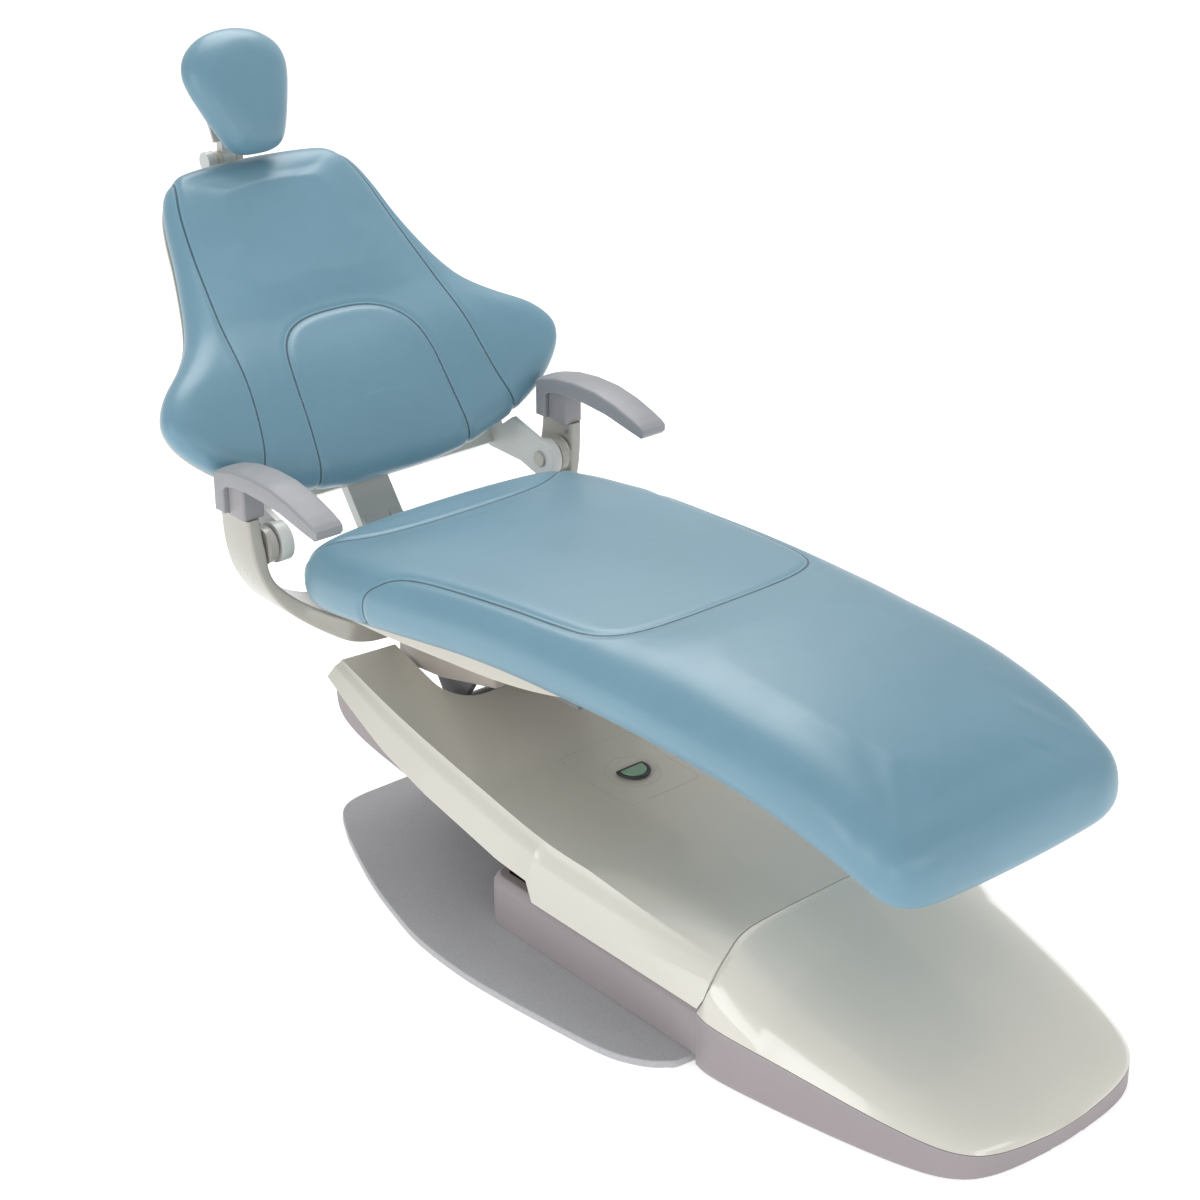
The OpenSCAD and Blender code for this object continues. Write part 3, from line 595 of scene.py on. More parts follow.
def smoothed(me, move, held):
    """A field of vertex moves, evened out over the mesh and dying away where the cover is held."""
    e = np.empty(len(me.edges) * 2, int)
    me.edges.foreach_get("vertices", e)
    e = e.reshape(-1, 2)
    count = np.bincount(e.ravel(), minlength=len(move)).astype(float)[:, None]
    soft = move.copy()
    for _ in range(SMOOTH_STEPS):
        total = np.stack([np.bincount(e[:, 0], soft[e[:, 1], i], len(move))
                          + np.bincount(e[:, 1], soft[e[:, 0], i], len(move)) for i in range(3)], 1)
        soft = 0.4 * soft + 0.6 * total / count
        soft *= (1 - 0.5 * held)[:, None]
    return soft


def blown_up(me, held):
    """The mesh after a run of cloth simulation with air pressure, held where it is sewn down."""
    ob = bpy.data.objects.new("cloth", me)
    scene.collection.objects.link(ob)
    group = ob.vertex_groups.new(name="sewn")
    for level in range(1, 11):
        ids = np.nonzero(np.ceil(held * 10 - 1e-6) == level)[0]
        if len(ids):
            group.add(ids.tolist(), level / 10, "REPLACE")
    mod = ob.modifiers.new("Cloth", "CLOTH")
    s = mod.settings
    s.quality, s.mass, s.air_damping = 6, 0.4, 2.0
    s.tension_stiffness = s.compression_stiffness = 25
    s.shear_stiffness, s.bending_stiffness = 10, 1.5
    s.use_pressure, s.uniform_pressure_force = True, CLOTH_PRESSURE
    s.effector_weights.gravity = 0.0
    s.vertex_group_mass = "sewn"
    s.pin_stiffness = 2.0
    mod.point_cache.frame_start, mod.point_cache.frame_end = 1, CLOTH_FRAMES
    for f in range(1, CLOTH_FRAMES + 1):
        scene.frame_set(f)
    out = baked(ob)
    scene.frame_set(1)
    bpy.data.objects.remove(ob)
    return out


def inflated(me, held, cap):
    """The pad's cover filled out over its foam; held is 1 where it is sewn down.

    The cloth's move is smoothed, keeps a little of its own creases, and is at most cap millimetres.
    """
    me = me.copy()
    rest = co_of(me)
    me.vertices.foreach_set("co", (rest - normals_of(me) * CLOTH_TUCK * MM * (1 - held)[:, None]).ravel())
    out = blown_up(me, held)
    move = co_of(out) - rest
    move = smoothed(out, move, held) * 0.86 + move * 0.14
    size = np.linalg.norm(move, axis=1)
    move *= (np.minimum(size, cap * MM) / np.maximum(size, 1e-9))[:, None]
    me.vertices.foreach_set("co", (rest + move).ravel())
    me.update()
    return me


def seamed(me, seam, depth, width):
    """The pad made twice as fine and pulled in along its seams; seam gives the distance from one."""
    me = modified(me, ("SUBSURF", {"levels": 1, "render_levels": 1}))
    co = co_of(me)
    d = np.clip(seam(co / MM), -FAR_FROM_SEAM, FAR_FROM_SEAM)
    pull = depth * np.exp(-(d / width) ** 2)
    me.vertices.foreach_set("co", (co - normals_of(me) * (pull * MM)[:, None]).ravel())
    a = me.attributes.new("seam", "FLOAT", "POINT")
    a.data.foreach_set("value", d.astype(np.float32))
    me.update()
    return me


def signed(points, lines):
    """Distance to the nearest of several seams, with one sign for each panel between them."""
    best, sign = np.full(len(points), 1e9), np.ones(len(points))
    for line in lines:
        d = to_line(points, line, closed=False)
        best = np.minimum(best, np.abs(d))
        sign *= np.where(d >= 0, 1, -1)
    return best * sign


def held_near(d, r0=6.0, r1=26.0):
    """1 within r0 of a seam, 0 beyond r1."""
    return 1 - np.clip((np.abs(d) - r0) / (r1 - r0), 0, 1)


# seat: height of the middle of the cushion along Y, its outline, and its half width and edge radius along Y
SEAT_MID = [(-600, 400), (-540, 424), (-450, 457), (-300, 486), (-100, 497), (80, 495), (234, 488),
            (400, 472), (560, 451), (640, 440), (720, 434)]
SEAT_LINE = [(0, -578), (110, -576), (180, -570), (222, -548), (238, -500), (246, -400), (253, -250),
             (259, -60), (265, 120), (273, 280), (286, 420), (292, 540), (288, 620), (270, 676), (214, 708),
             (124, 718), (0, 720)]
SEAT_WIDTH = [(-578, 200), (-400, 246), (120, 265), (540, 292), (720, 292)]
SEAT_EDGE = [(-578, 34), (-480, 60), (-200, 82), (200, 74), (520, 62), (720, 60)]
SEAT_HALF = 50
# seams of the seat in plan: the front panel with its two sides, and the rear strip
INSERT_SEAM = open_line(across([(0, -4), (90, -2), (150, 6), (190, 24), (212, 60), (222, 120), (230, 210),
                                (238, 300), (247, 380), (258, 432), (276, 466), (300, 486), (335, 494),
                                (420, 496)]), 6)
REAR_SEAM = open_line(across([(0, 598), (80, 601), (140, 610), (180, 624), (215, 644), (250, 668), (300, 696),
                              (360, 728)]), 6)


def seat_top(x, y, d):
    crown = 7 * np.clip(1 - (x / curve(SEAT_WIDTH, y)) ** 2, 0, 1)
    dish = 4.0 * np.exp(-((x / 170) ** 2)) * np.exp(-(((y - 330) / 190) ** 2))
    return curve(SEAT_MID, y) + SEAT_HALF * round_edge(d, curve(SEAT_EDGE, y), 2.1) + crown - dish


def seat_bottom(x, y, d):
    return curve(SEAT_MID, y) - SEAT_HALF * round_edge(d, 34, 2.3)


def seat_seams(co):
    """Distance from the seat's seams, measured in plan with the sides folded out."""
    edge = curve(SEAT_MID, co[:, 1]) + 30
    drop = np.clip(edge - co[:, 2], 0, 200) * np.clip((np.abs(co[:, 0]) - 120) / 60, 0, 1)
    flat = np.c_[co[:, 0] + np.sign(co[:, 0]) * drop * 0.9, co[:, 1]]
    under = co[:, 2] < curve(SEAT_MID, co[:, 1]) - 40
    return np.where(under, FAR_FROM_SEAM, signed(flat, [INSERT_SEAM, REAR_SEAM]))


def build_seat():
    line = even(loop(whole(SEAT_LINE)), 380)
    me = cushion(line, lambda p: np.c_[np.zeros(len(p)), np.clip(p[:, 1], -420, 560)], seat_top, seat_bottom,
                 60, 34, 20)
    co = co_of(me) / MM
    below = np.clip((curve(SEAT_MID, co[:, 1]) - 12 - co[:, 2]) / 26, 0, 1)
    me = inflated(me, np.maximum(held_near(seat_seams(co)), below), 8)
    me = seamed(me, seat_seams, 3.2, 7.0)
    ob = piece("seat_pad", me, M["vinyl"], "seat", "seat_cushion")


# back: x across it and u up it from its foot, with heights out of it towards the sitter
BACK_FOOT = (818, 500)
BACK_PLACE = at(0, *BACK_FOOT) @ turn(53.7, "X")
BACK_HALF_WIDTH = 389
BACK_HALF = 30
BACK_LINE = [(0, -9), (80, -8), (150, 0), (215, 15), (280, 39), (330, 66), (368, 100), (388, 132),
             (389, 165), (364, 204), (313, 246), (278, 282), (256, 320), (236, 372), (218, 430), (205, 485),
             (190, 530), (170, 560), (138, 578), (90, 586), (0, 590)]
BACK_BOW = [(-10, 16), (100, 24), (200, 22), (300, -4), (400, -22), (500, -33), (592, -40)]
SIDE_SEAM = [(300, -70), (275, -10), (254, 40), (238, 90), (228, 150), (221, 220), (213, 300), (204, 370),
             (196, 430), (184, 500), (168, 550), (146, 600), (120, 660)]
LUMBAR_SEAM = [(0, 281), (50, 278), (88, 266), (114, 244), (130, 212), (138, 165), (141, 120), (144, 80),
               (150, 20), (158, -40), (164, -80)]
BACK_SEAMS = [open_line([(-x, u) for x, u in SIDE_SEAM], 6), open_line(SIDE_SEAM, 6),
              open_line(across(LUMBAR_SEAM), 6)]


def bow(x, u):
    """Middle of the back: bowed along its height, with its wings forward."""
    return curve(BACK_BOW, u) + 32 * (np.abs(x) / BACK_HALF_WIDTH) ** 2


def back_seams(co):
    d = signed(co[:, :2], BACK_SEAMS)
    return np.where(co[:, 2] < bow(co[:, 0], co[:, 1]) - 14, FAR_FROM_SEAM, d)


def back_top(x, u, d):
    lumbar = 5 * np.exp(-((x / 120) ** 2)) * np.exp(-(((u - 120) / 130) ** 2))
    return bow(x, u) + BACK_HALF * round_edge(d, 46, 2.1) + lumbar


def back_under(x, u, d):
    return bow(x, u) - BACK_HALF * round_edge(d, 26, 2.3)


def build_back():
    line = even(loop(whole(BACK_LINE)), 380)
    me = cushion(line, lambda p: np.c_[np.zeros(len(p)), np.clip(p[:, 1] * 0.9 + 30, 120, 470)], back_top,
                 back_under, 46, 26, 22)
    co = co_of(me) / MM
    below = np.clip((bow(co[:, 0], co[:, 1]) - 8 - co[:, 2]) / 16, 0, 1)
    me = inflated(me, np.maximum(held_near(back_seams(co), 5, 24), below), 8)
    me = seamed(me, back_seams, 3.0, 7.0)
    me.transform(BACK_PLACE)
    ob = piece("back_pad", me, M["vinyl"], "back", "back_cushion")


def build_back_shell():
    """A dished board behind the cushion, from rings given by their scale and their depth below the bow."""
    line = even(loop(whole(BACK_LINE)), 240)
    middle = 235
    outer = [(0.02, 50), (0.2, 50.5), (0.4, 50.5), (0.6, 50.2), (0.76, 50), (0.84, 49.2), (0.9, 47.4)]
    rim = [(0.935, 45), (0.953, 42.4), (0.962, 39.8), (0.965, 37), (0.963, 35.2), (0.95, 34.6)]
    inner = [(0.8, 34.5), (0.5, 34.5), (0.02, 34.5)]
    rings = []
    for k, depth in outer + rim + inner:
        x, u = line[:, 0] * k, middle + (line[:, 1] - middle) * k
        rings.append(np.c_[x, u, bow(x, u) - depth])
    me = capped("shell", rings)
    me.transform(BACK_PLACE)
    piece("back_board", me, M["ivory"], "back", "back_shell", sharp=50)


# headrest: its outline in half widths and half heights
HEAD_PLACE = at(0, 1199, 1065) @ turn(65, "X")
HEAD_HALF_W, HEAD_HALF_H = 99, 107
HEAD_LINE = [(0, -1), (0.26, -0.985), (0.45, -0.92), (0.59, -0.77), (0.72, -0.5), (0.85, -0.18), (0.955, 0.1),
             (1, 0.34), (0.95, 0.57), (0.8, 0.755), (0.56, 0.9), (0.28, 0.978), (0, 1)]


def head_top(x, y, d):
    return -4 + 36 * round_edge(d, 50, 2.0) + 6 * np.clip(1 - (x**2 + y**2) / 9500, 0, 1)


def head_under(x, y, d):
    return -4 - 26 * round_edge(d, 34, 2.2)


def head_seam(co):
    """Distance from the seam round the rim of the headrest."""
    return np.where(np.hypot(co[:, 0], co[:, 1]) > 60, co[:, 2] + 15, FAR_FROM_SEAM)


def build_headrest():
    line = even(loop(whole([(x * HEAD_HALF_W, y * HEAD_HALF_H) for x, y in HEAD_LINE])), 200)
    me = cushion(line, lambda p: np.c_[np.zeros(len(p)), np.clip(p[:, 1] * 0.6, -46, 46)], head_top,
                 head_under, 50, 34, 7)
    me = inflated(me, np.clip((-10 - co_of(me)[:, 2] / MM) / 14, 0, 1), 6)
    me = seamed(me, head_seam, 1.0, 3.5)
    me.transform(HEAD_PLACE)
    ob = piece("headrest_pad", me, M["vinyl"], "head_pad", "headrest_cushion")


# ---------------- moulded covers

LIFT_AXIS = (-142, 165)
SEAM_R = 118
SEAM_GAP = 1.6
COVER_T = 3.5
SKIRT_T = 4
# nose cover, from 0 at the seam to 1 at the tip: half width, Y of rim and crown, height of crown and rim
NOSE_W = [(0, 262), (0.06, 266), (0.14, 263), (0.26, 252), (0.38, 240), (0.5, 226), (0.62, 209), (0.72, 190),
          (0.81, 165), (0.88, 134), (0.94, 92), (1, 34)]
NOSE_Y = [(0, -236), (0.06, -262), (0.14, -306), (0.26, -378), (0.38, -444), (0.5, -510), (0.62, -574),
          (0.72, -622), (0.81, -652), (0.88, -668), (0.94, -677), (1, -682.3)]
CROWN_Y = [(0, -253), (0.3, -372), (0.6, -512), (0.85, -634), (1, -684)]
CROWN_Z = [(0, 207), (0.12, 190), (0.3, 166), (0.5, 138), (0.7, 102), (0.87, 64), (0.95, 44), (1, 28.6)]
NOSE_RIM = [(0, 87), (0.3, 76), (0.6, 56), (0.85, 38), (1, 28)]
# cross-sections, as height over half width: at the seam, and along the nose
SEAM_ARCH = [(0, 1), (0.56, 0.98), (0.72, 0.95), (0.8, 0.89), (0.88, 0.76), (0.94, 0.63), (0.975, 0.5),
             (0.99, 0.39), (1, 0)]
NOSE_ARCH = [(0, 1), (0.3, 0.965), (0.5, 0.89), (0.65, 0.79), (0.8, 0.61), (0.9, 0.4), (0.96, 0.2), (1, 0)]


def seam_y(z, r):
    """Y of the seam between nose and cover, an arc about the lift's axis, at height z."""
    return LIFT_AXIS[0] - np.sqrt(np.maximum(r * r - (z - LIFT_AXIS[1]) ** 2, 0))


def spread(n, bias=0.78):
    """Columns from -1 to 1, closer together near the rims."""
    u = np.linspace(-1, 1, n)
    return np.sin(u * math.pi / 2) * bias + u * (1 - bias)


def nose_grid(t, s, d):
    """Skin of the nose at d inside its outer face, over t along it and s across it."""
    t, s = np.meshgrid(t, s, indexing="ij")
    rim, half, q = curve(NOSE_RIM, t), curve(NOSE_W, t) - d, np.abs(s)
    arch = mix(curve(SEAM_ARCH, q), curve(NOSE_ARCH, q), np.minimum(1, t / 0.22))
    z = rim + (curve(CROWN_Z, t) - d - rim) * arch
    y = mix(curve(CROWN_Y, t), curve(NOSE_Y, t), q * q) + np.where(t > 0.5, d * 0.6, 0)
    return np.stack([half * s, np.minimum(y, seam_y(z, SEAM_R + SEAM_GAP)), z], -1)


def band_grid(t, rows, d):
    """Upright skin of the nose skirt at d inside its outer face: left side, tip and right side."""
    lap, foot = 1.2, 1.5
    tuck = np.where(rows < 0.06, 1.2, 0)[:, None]
    z = mix(foot, curve(NOSE_RIM, t)[None, :] - lap, rows[:, None])
    y = np.minimum(curve(NOSE_Y, t)[None, :] + np.where(t > 0.5, d, 0)[None, :],
                   seam_y(np.maximum(z, 46), SEAM_R + SEAM_GAP))
    x = np.broadcast_to((curve(NOSE_W, t) - d)[None, :], z.shape) - tuck
    q = np.linspace(-0.9, 0.9, 11)[None, :]
    z_tip = mix(foot, 28 + 0.6 * curve(NOSE_ARCH, np.abs(q)) - lap, rows[:, None])
    y_tip = mix(CROWN_Y[-1][1], NOSE_Y[-1][1], q * q) + d + tuck + 0 * z_tip
    tip = np.stack([q * (NOSE_W[-1][1] - d) + 0 * z_tip, y_tip, z_tip], -1)
    return np.concatenate([np.stack([-x, y, z], -1), tip, np.stack([x, y, z], -1)[:, ::-1]], 1)


def build_nose():
    t, s = 1 - (1 - np.linspace(0, 1, 80)) ** 1.25, spread(97)
    me = walled(nose_grid(t, s, 0), nose_grid(t, s, COVER_T))
    piece("nose_shell", me, M["ivory"], "base", "nose_cover", sharp=48)
    t, rows = 1 - (1 - np.linspace(0, 1, 90)) ** 1.4, np.linspace(0, 1, 14)
    me = walled(band_grid(t, rows, 0), band_grid(t, rows, SKIRT_T))
    piece("nose_band", me, M["mauve"], "base", "nose_skirt", sharp=48)


# lift cover, from 0 at the seam to 1 at the rear: lower edge, shoulder, crown and half width
COV_EDGE_Y = [(0, -237), (0.405, 124), (0.42, 136), (1, 658)]
COV_EDGE_Z = [(0, 96), (0.404, 96), (0.421, 127), (0.5, 131), (0.7, 162), (0.82, 190), (0.94, 234), (1, 259)]
COV_RIDGE_Z = [(0, 186), (0.2, 186), (0.4, 187), (0.6, 212), (0.8, 244), (1, 281)]
COV_CROWN_Y = [(0, -252), (0.1, -175), (0.5, 190), (0.76, 482), (1, 640)]
COV_CROWN_Z = [(0, 207), (0.1, 201), (0.25, 192), (0.4, 188), (0.5, 190), (0.6, 201), (0.76, 232), (1, 281)]
COV_W = [(0, 263.5), (0.4, 263.5), (0.6, 260), (0.85, 255), (1, 248)]
SHOULDER = 0.91
ON_COVER = at(0, 198, 191.8) @ turn(180, "Z") @ turn(-2, "X")


def cover_grid(t, s, d):
    """Skin of the lift cover at d inside its outer face, over t along it and s across it."""
    t, s = np.meshgrid(t, s, indexing="ij")
    q = np.abs(s)
    edge, crown, ridge = straight(COV_EDGE_Z, t), curve(COV_CROWN_Z, t), curve(COV_RIDGE_Z, t)
    front = edge + (crown - edge) * curve(SEAM_ARCH, q)
    side = mix(ridge, edge, (q - SHOULDER) / (1 - SHOULDER))
    rear = np.where(q > SHOULDER, side, mix(crown, ridge, (q / SHOULDER) ** 3))
    z = mix(front, rear, np.minimum(1, t / 0.3)) - d * np.where(q > 0.99, 0, 1)
    y = mix(curve(COV_CROWN_Y, t), straight(COV_EDGE_Y, t), q**1.6)
    z0 = 96 + (207 - 96) * curve(SEAM_ARCH, q)
    y = y + (seam_y(z0, SEAM_R) - mix(-252, -237, q**1.6)) * np.clip(1 - t / 0.16, 0, 1) ** 2
    inset = np.where(q > 0.93, 0, np.where(t > 0.3, 6, 20 * t)) * np.minimum(1, (1 - q) * 12)
    x = s * (curve(COV_W, t) - inset) - np.sign(s) * d * np.where(q > 0.5, 1.1, 0)
    return np.stack([x, np.maximum(y, seam_y(z, SEAM_R)), z], -1)


def build_cover():
    t = np.unique(np.r_[np.linspace(0, 1, 110), 0.404, 0.405, 0.42, 0.421])
    s = np.unique(np.r_[spread(109), -0.91, 0.91, -0.99, 0.99])
    me = walled(cover_grid(t, s, 0), cover_grid(t, s, COVER_T))
    half, front, rear, r = 122, 487, 720, 58
    a = np.radians(np.linspace(180, 270, 10))
    corner = np.c_[-half + r + r * np.cos(a), front + r + r * np.sin(a)]
    notch = np.vstack([[(-half, rear)], corner, np.c_[-corner[::-1, 0], corner[::-1, 1]], [(half, rear)]])
    window = prism_z("window", dee(24.5, 7.5), -16, 10)
    window.transform(ON_COVER)
    me = cut(me, prism_z("notch", notch, 150, 330), window)
    piece("lift_shell", me, M["cover"], "lift", "lift_cover", sharp=40)


def build_under_cover():
    """Grey belly pan: one upright slab on each side, under the rising edge of the cover."""
    low = open_line([(70, 121.5), (200, 121.5), (330, 138), (440, 154), (560, 170), (616, 186), (641, 206),
                     (648, 234)], 6)
    up = open_line([(644, 247), (604, 236), (496, 193), (388, 165), (300, 150), (208, 134), (140, 129),
                    (70, 126)], 6)
    side = plate([np.vstack([low, up])], 118, 1.6, at(180, 0, 0) @ UPRIGHT)
    me = joined(side, mirrored(side))
    piece("belly_pan", me, M["mauve"], "lift", "lift_under_cover", sharp=40)


FLOOR_LINE = [(0, 675), (130, 675), (178, 674.5), (208, 669), (230, 656), (246, 636), (260, 610), (284, 559),
              (325, 450), (353, 351), (372, 260), (377, 150), (371, 59), (361, -27), (347, -125), (330, -175),
              (300, -212), (250, -227), (0, -229)]


def build_floor_plate():
    holes = [circle(x, y, 7) for x in (-180, 180) for y in (-100, 100)]
    me = plate([loop(whole(FLOOR_LINE))] + holes, 12, 2.0, at(0, 0, 6))
    piece("floor_plate", me, M["plate"], "base", "base_plate", sharp=50)


def build_base_box():
    """Grey box open at the front and on top: a wall swept round three sides, given by height and inset."""
    rear, half, front, r = 244, 257, -235, 34
    a = np.radians(np.linspace(0, 90, 12))

    def ring(d):
        x = half - d
        side = [(x, front)] + [(x, front + (rear - front) * k / 8) for k in range(1, 8)]
        corner = np.c_[half - r + (r - d) * np.cos(a), rear - r + (r - d) * np.sin(a)]
        right = np.vstack([side, corner])
        return np.vstack([right, np.c_[-right[::-1, 0], right[::-1, 1]]])

    outer = [(12, 0.8), (13, 0), (40, 0), (77, 0), (80, 0.6), (84, 2.6), (88, 5.4), (91, 7.8), (92.6, 9.6)]
    inner = [(93, 11.6), (93, 24), (90, 24), (89.5, 12), (12, 4)]
    v = np.array([np.c_[ring(d), np.full(len(ring(d)), z)] for z, d in outer + inner])
    # the top edge leans in near the front, where the lift cover comes down closest
    near = np.clip((-100 - v[..., 1]) / 70, 0, 1) * np.clip((v[..., 2] - 74) / 8, 0, 1)
    v[..., 0] -= np.sign(v[..., 0]) * 3.2 * near
    m, n = v.shape[:2]
    idx = np.arange(m * n).reshape(m, n)
    f = list(grid_faces(m, n)) + [list(idx[:, 0]), list(idx[::-1, -1])]
    f += [[idx[-1, j], idx[-1, j + 1], idx[0, j + 1], idx[0, j]] for j in range(n - 1)]
    me = mesh("box", v.reshape(-1, 3), f)
    piece("base_box", me, M["mauve"], "base", "base_skirt", sharp=35)


def build_switch():
    """D-shaped window in the cover: a dark rim with a lining, and the green button in it."""
    rim = plate([dee(28, 10), dee(22, 5)], 4, 1.2, ON_COVER @ at(0, 0, 2))
    liner = plate([dee(24, 7), dee(22, 5)], 7, 0.4, ON_COVER @ at(0, 0, -2.8))
    piece("switch_rim", joined(rim, liner), M["dark"], "lift", "switch_bezel", sharp=50)
    cap = plate([dee(21.5, 4.5)], 4.6, 1.4, ON_COVER @ at(0, 0, 2.7))
    piece("switch_cap", cap, M["green"], "button", "switch_button", sharp=60)


def build_shroud():
    """Tub under the seat, round the top of the carriage: a folded skin with two side walls, open on top."""
    def ring(x, d):
        fold = [(400 + d, 320), (400 + d, 290 + d * 0.6), (470, 273 + d), (540, 256 + d),
                (638 - d * 0.3, 246 + d), (652 - d, 260 + d * 0.4), (652 - d, 320)]
        return np.c_[np.full(len(fold), x), np.array(fold)]

    columns = [(-112, 7), (-110.6, 3), (-106, 0), (106, 0), (110.6, 3), (112, 7)]
    rings = np.array([ring(x, d) for x, d in columns])
    skin = mesh("skin", rings.reshape(-1, 3), grid_faces(*rings.shape[:2]))
    side = np.array([(407, 320), (407, 294), (470, 280), (540, 263), (636, 253), (645, 263), (645, 320)])
    walls = [mesh("wall", np.c_[np.full(len(side), x), side], [list(range(len(side)))]) for x in (-112, 112)]
    me = modified(joined(skin, *walls, weld=0.8), ("SOLIDIFY", {"thickness": 0.004, "offset": -1.0}),
                  ("BEVEL", {"width": 0.0015, "segments": 2}))
    piece("carriage_hood", me, M["shroud"], "seat", "carriage_shroud", sharp=40)


# seat pan: height of its underside and of its rim, and its half width, along Y
PAN_LOW = [(-60, 430), (80, 422), (217, 411), (338, 400), (498, 384), (560, 380), (640, 374), (690, 372)]
PAN_RIM = [(-60, 443), (80, 440), (217, 433), (338, 425), (498, 406), (560, 398), (640, 387), (690, 383)]
PAN_W = [(-60, 150), (80, 188), (130, 212), (190, 228), (260, 236), (340, 238), (650, 238), (690, 234)]


def build_seat_pan():
    """Shallow tray under the seat cushion, with a slot for the back's spine and two ribs underneath."""
    y = np.linspace(-60, 690, 64)
    low, rim, w = straight(PAN_LOW, y), straight(PAN_RIM, y), curve(PAN_W, y)
    outside = [(-1, 4.0), (-1, 1.2), (-0.997, 0), (-0.5, 0), (0, 0), (0.5, 0), (0.997, 0), (1, 1.2), (1, 4.0)]
    lip = [(1, 0.6), (0.996, 0), (0.983, 0.4)]
    rows = [np.c_[x * w, y, low + d] for x, d in outside]
    rows += [np.c_[x * w, y, rim + d] for x, d in lip]
    rows += [np.c_[x * w, y, low + 4] for x in (0.98, 0.5, 0, -0.5, -0.98)]
    rows += [np.c_[-x * w, y, rim + d] for x, d in lip[::-1]]
    v = np.array(rows)
    m, n = v.shape[:2]
    f = list(grid_faces(m, n)) + [[(m - 1) * n + j, (m - 1) * n + j + 1, j + 1, j] for j in range(n - 1)]
    f += [[i * n for i in range(m)], [i * n + n - 1 for i in range(m)]]
    slot = prism_x("slot", [(640, 360), (700, 360), (700, 400), (640, 400)], -22, 22)
    rib = [(120, 364), (560, 364), (560, 384), (498, 388), (338, 404), (217, 415), (120, 420)]
    ribs = [prism_x("rib", rib, x, x + 26) for x in (82, -108)]
    me = joined(cut(mesh("pan", v.reshape(-1, 3), f), slot), *ribs)
    piece("seat_tray", me, M["pan"], "seat", "seat_pan", sharp=35)


# ---------------- arms

RECLINE_AXIS = (742, 475)
# left sling arm: its inner and outer faces in front view, and its front and rear edges in Y against height
SLING_IN = [(315, 530), (313, 500), (309, 472), (306, 440), (296, 416), (270, 388), (236, 364), (206, 350),
            (174, 342), (140, 338)]
SLING_OUT = [(338, 530), (335, 487), (328, 448), (313, 408), (287, 370), (255, 341), (216, 317), (176, 304),
             (140, 300)]
SLING_FRONT = [(280, 640), (330, 640), (344, 664), (368, 692), (410, 710), (470, 718), (540, 722)]
SLING_REAR = [(280, 778), (350, 797), (420, 803), (540, 800)]


def build_slings():
    faces = [even(open_line(line, 10), 60, closed=False) for line in (SLING_IN, SLING_OUT)]
    rings = []
    for p, q in zip(*faces):
        mid, thick = (p + q) / 2, np.linalg.norm(q - p)
        u = (q - p) / thick
        y0, y1 = float(curve(SLING_FRONT, mid[1])), float(curve(SLING_REAR, mid[1]))
        sec = ring_box(thick, y1 - y0, 5.0, 4)
        rings.append(np.c_[mid[0] + u[0] * sec[:, 0], (y0 + y1) / 2 + sec[:, 1], mid[1] + u[1] * sec[:, 0]])
    me = capped("sling", rings)
    pair("sling_{}", me, M["sling"], "seat", "sling_arm_{}", 40)


def build_pivots():
    boss = [(0, 258), (12.5, 258), (14, 259.5), (14, 286), (15, 288), (26, 288), (29, 289), (30, 291),
            (30, 303), (31.5, 304), (31.5, 305.4), (0, 305.4)]
    me = lathe(boss, at(0, *RECLINE_AXIS) @ turn(90, "Y"))
    pair("pivot_boss_{}", me, M["sling"], "seat", "back_pivot_{}", 35)


# arm pad from the side, from its rear leg over the top to the front and back underneath
PAD_SIDE = [(794, 597), (789, 602), (777, 606), (740, 615), (690, 620), (640, 619), (590, 610.5),
            (545, 597), (527, 589), (518.5, 583), (518, 573), (524, 566.5), (560, 574), (610, 584),
            (660, 589), (705, 590), (738, 586), (762, 580), (768, 574), (768, 534), (794, 534)]
PAD_X, PAD_HALF, PAD_ROUND = 323, 28.5, 4


def build_arm_pads():
    side = np.array(PAD_SIDE, float)
    fine = np.vstack([side[i] + (side[(i + 1) % len(side)] - side[i]) * np.linspace(0, 1, 5)[:-1, None]
                      for i in range(len(side))])
    nrm = np.roll(fine, -1, 0) - np.roll(fine, 1, 0)
    nrm = np.c_[-nrm[:, 1], nrm[:, 0]] / np.linalg.norm(nrm, axis=1)[:, None]
    ends = [(PAD_HALF - PAD_ROUND + PAD_ROUND * math.sin(a), PAD_ROUND - PAD_ROUND * math.cos(a))
            for a in np.radians(np.linspace(0, 90, 7))]
    rings = []
    for x, d in [(-x, d) for x, d in ends[::-1]] + [(x, 0) for x in np.linspace(-22, 22, 9)] + ends:
        p = fine + nrm * d
        w = curve([(519, 0.9), (560, 0.97), (640, 1.0), (790, 1.0)], p[:, 0])
        crown = 2.6 * (x / PAD_HALF) ** 2 * np.clip((p[:, 1] - 585) / 12, 0, 1)
        rings.append(np.c_[x * w, p[:, 0], p[:, 1] - crown])
    me = capped("pad", rings)
    me.transform(at(PAD_X, 0, 0))
    for pad in pair("pad_{}", me, M["pad"], "arm_{}", "arm_pad_{}", 50):
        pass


def build_sockets():
    """The block under the rear of each pad, with the spigot that turns in the sling arm."""
    rings = []
    for z, g in ((530.5, -1.6), (531, -0.7), (532.5, 0), (560, 0), (572, 0), (580, 0), (584, -0.6)):
        sec = ring_box(40 + g * 2, 44 + g * 2, 5 + g, 5)
        rings.append(np.c_[sec[:, 0] + 322, sec[:, 1] + 747, np.full(len(sec), z)])
    spigot = lathe([(0, 502), (5.2, 502), (5.9, 503), (5.9, 532), (0, 532)], at(324, 760, 0), 32)
    me = joined(capped("block", rings), spigot)
    pair("socket_{}", me, M["socket"], "arm_{}", "arm_socket_{}", 40)


# ---------------- the CAD nodes that stay

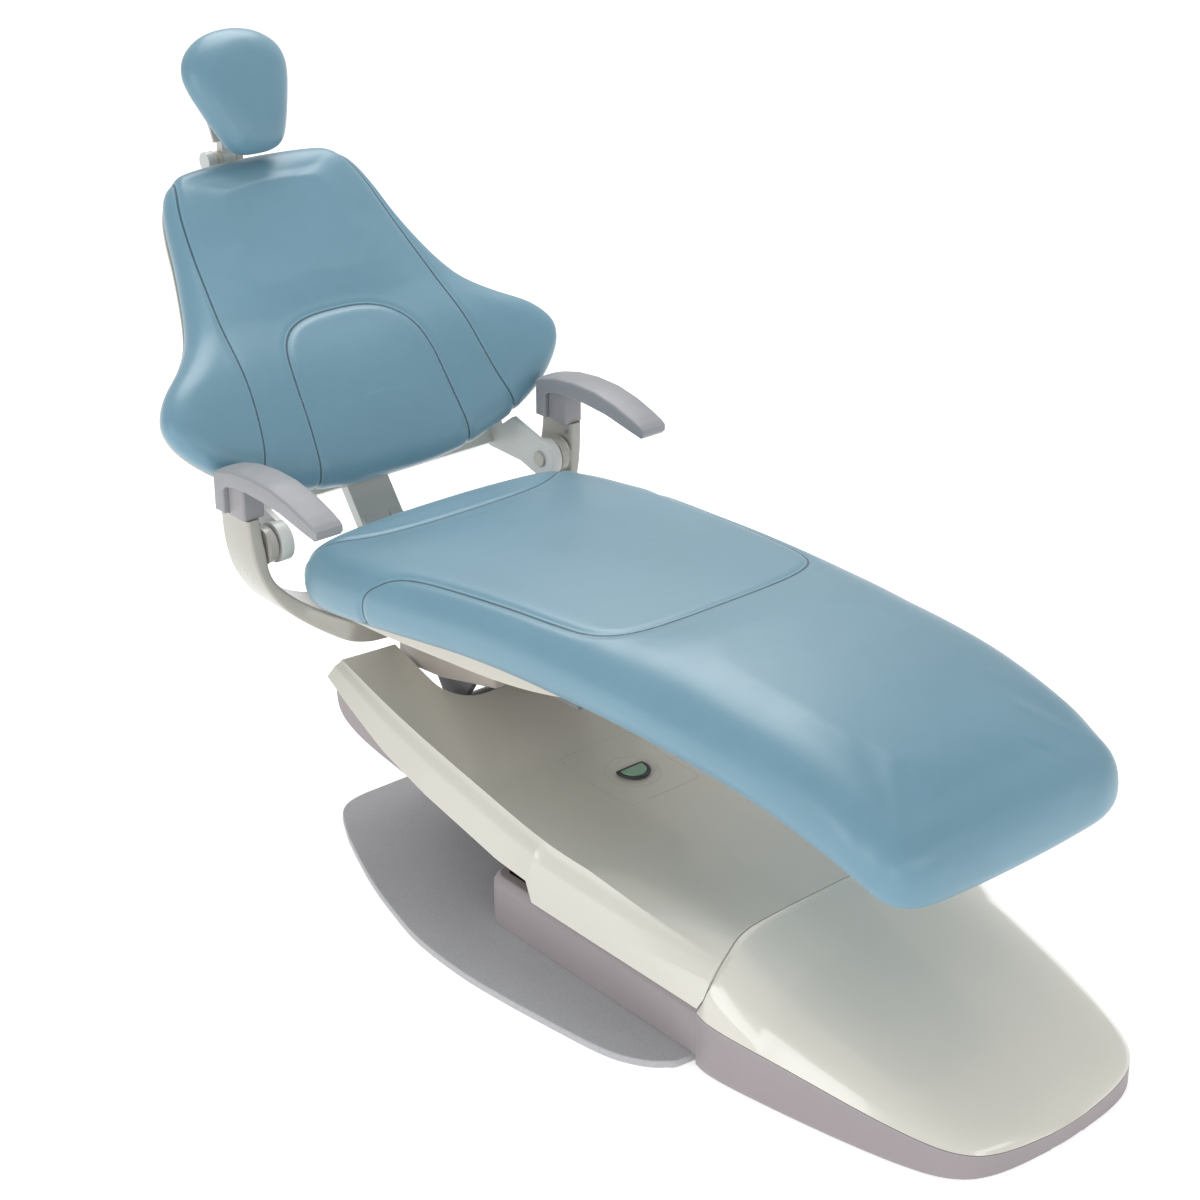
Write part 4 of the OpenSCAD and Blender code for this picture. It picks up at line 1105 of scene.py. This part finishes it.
KEEP = {
    "frame": ["base_frame", "lift_arm", "parallel_link", "carriage_frame", "seat_frame", "pump_tray"],
    "steel": ["lift_shaft", "link_shaft", "carriage_shaft", "carriage_link_pin", "valve_block",
              "sling_screws"],
    "barrel": ["lift_cylinder", "back_cylinder", "pump_motor"],
    "chrome": ["lift_rod", "back_rod"],
    "tank": ["fluid_reservoir"],
    "dark": ["control_box", "headrest_guide"],
    "pan": ["headrest_bar", "headrest_plate"],
    "yoke": ["back_frame", "headrest_link", "headrest_knob"],
}
SOFT_EDGES = (
    ("WELD", {"merge_threshold": 0.00005}),
    ("DECIMATE", {"decimate_type": "DISSOLVE", "angle_limit": math.radians(0.8)}),
    ("BEVEL", {"width": 0.0016, "segments": 3, "limit_method": "ANGLE", "angle_limit": math.radians(32),
               "harden_normals": False}),
)


def dress_nodes():
    """Paint or metal and slightly rounded edges for the frames, shafts, cylinders and pump parts."""
    for key, names in KEEP.items():
        for name in names:
            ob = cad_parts[name]
            ob.data.materials.clear()
            ob.data.materials.append(M[key])
            add_modifiers(ob, SOFT_EDGES)


# ---------------- studio


def add_camera():
    cam = bpy.data.cameras.new("cam")
    cam.lens, cam.sensor_width, cam.clip_end = 75.18, 36, 100
    ob = bpy.data.objects.new("cam", cam)
    scene.collection.objects.link(ob)
    ob.location = (-2.236, -2.350, 2.065)
    ob.rotation_euler = (math.radians(64.97), 0, math.radians(-40.41))
    scene.camera = ob


def add_floor():
    """A plain white floor that glows a little, so that it stays white under the chair's soft shadow."""
    me = bpy.data.meshes.new("floor")
    me.from_pydata([(-14, -14, 0), (14, -14, 0), (14, 14, 0), (-14, 14, 0)], [], [(0, 1, 2, 3)])
    floor = bpy.data.objects.new("floor", me)
    scene.collection.objects.link(floor)
    n = Nodes("floor_white")
    col = n.blend(n.ramp(n.noise(1.5), 0.0, 1.0), (0.86, 0.86, 0.86, 1), (0.88, 0.88, 0.88, 1))
    n.link(col, n.bsdf.inputs["Base Color"])
    n.set(Roughness=0.9, Specular_IOR_Level=0.1, Emission_Color=(1, 1, 1, 1), Emission_Strength=0.46)
    me.materials.append(n.mat)


def add_area(name, loc, target, size, power):
    """A rectangular light at loc, facing the target."""
    li = bpy.data.lights.new(name, "AREA")
    li.shape, li.size, li.size_y = "RECTANGLE", size[0], size[1]
    li.energy = power
    ob = bpy.data.objects.new(name, li)
    scene.collection.objects.link(ob)
    ob.location = loc
    ob.rotation_euler = (Vector(target) - Vector(loc)).to_track_quat("-Z", "Y").to_euler()


def add_light():
    world = bpy.data.worlds.new("studio")
    scene.world = world
    world.use_nodes = True
    sky = world.node_tree.nodes["Background"]
    sky.inputs["Color"].default_value = (1, 1, 1, 1)
    sky.inputs["Strength"].default_value = 0.66
    add_area("key", (1.2, 2.1, 3.8), (0, 0.1, 0.3), (2.2, 2.8), 96)
    add_area("side", (-4.2, 0.2, 1.5), (0, 0.1, 0.35), (1.2, 2.4), 38)
    add_area("fill", (-2.9, -2.9, 1.0), (0, 0.2, 0.2), (2.4, 1.0), 22)
    add_area("front", (0.6, -4.4, 1.8), (0, 0, 0.2), (3.2, 0.7), 23)
    scene.view_settings.view_transform = "Standard"


build_seat()
build_back()
build_back_shell()
build_headrest()
build_nose()
build_cover()
build_under_cover()
build_floor_plate()
build_base_box()
build_switch()
build_shroud()
build_seat_pan()
build_slings()
build_pivots()
build_arm_pads()
build_sockets()
dress_nodes()
add_camera()
add_floor()
add_light()
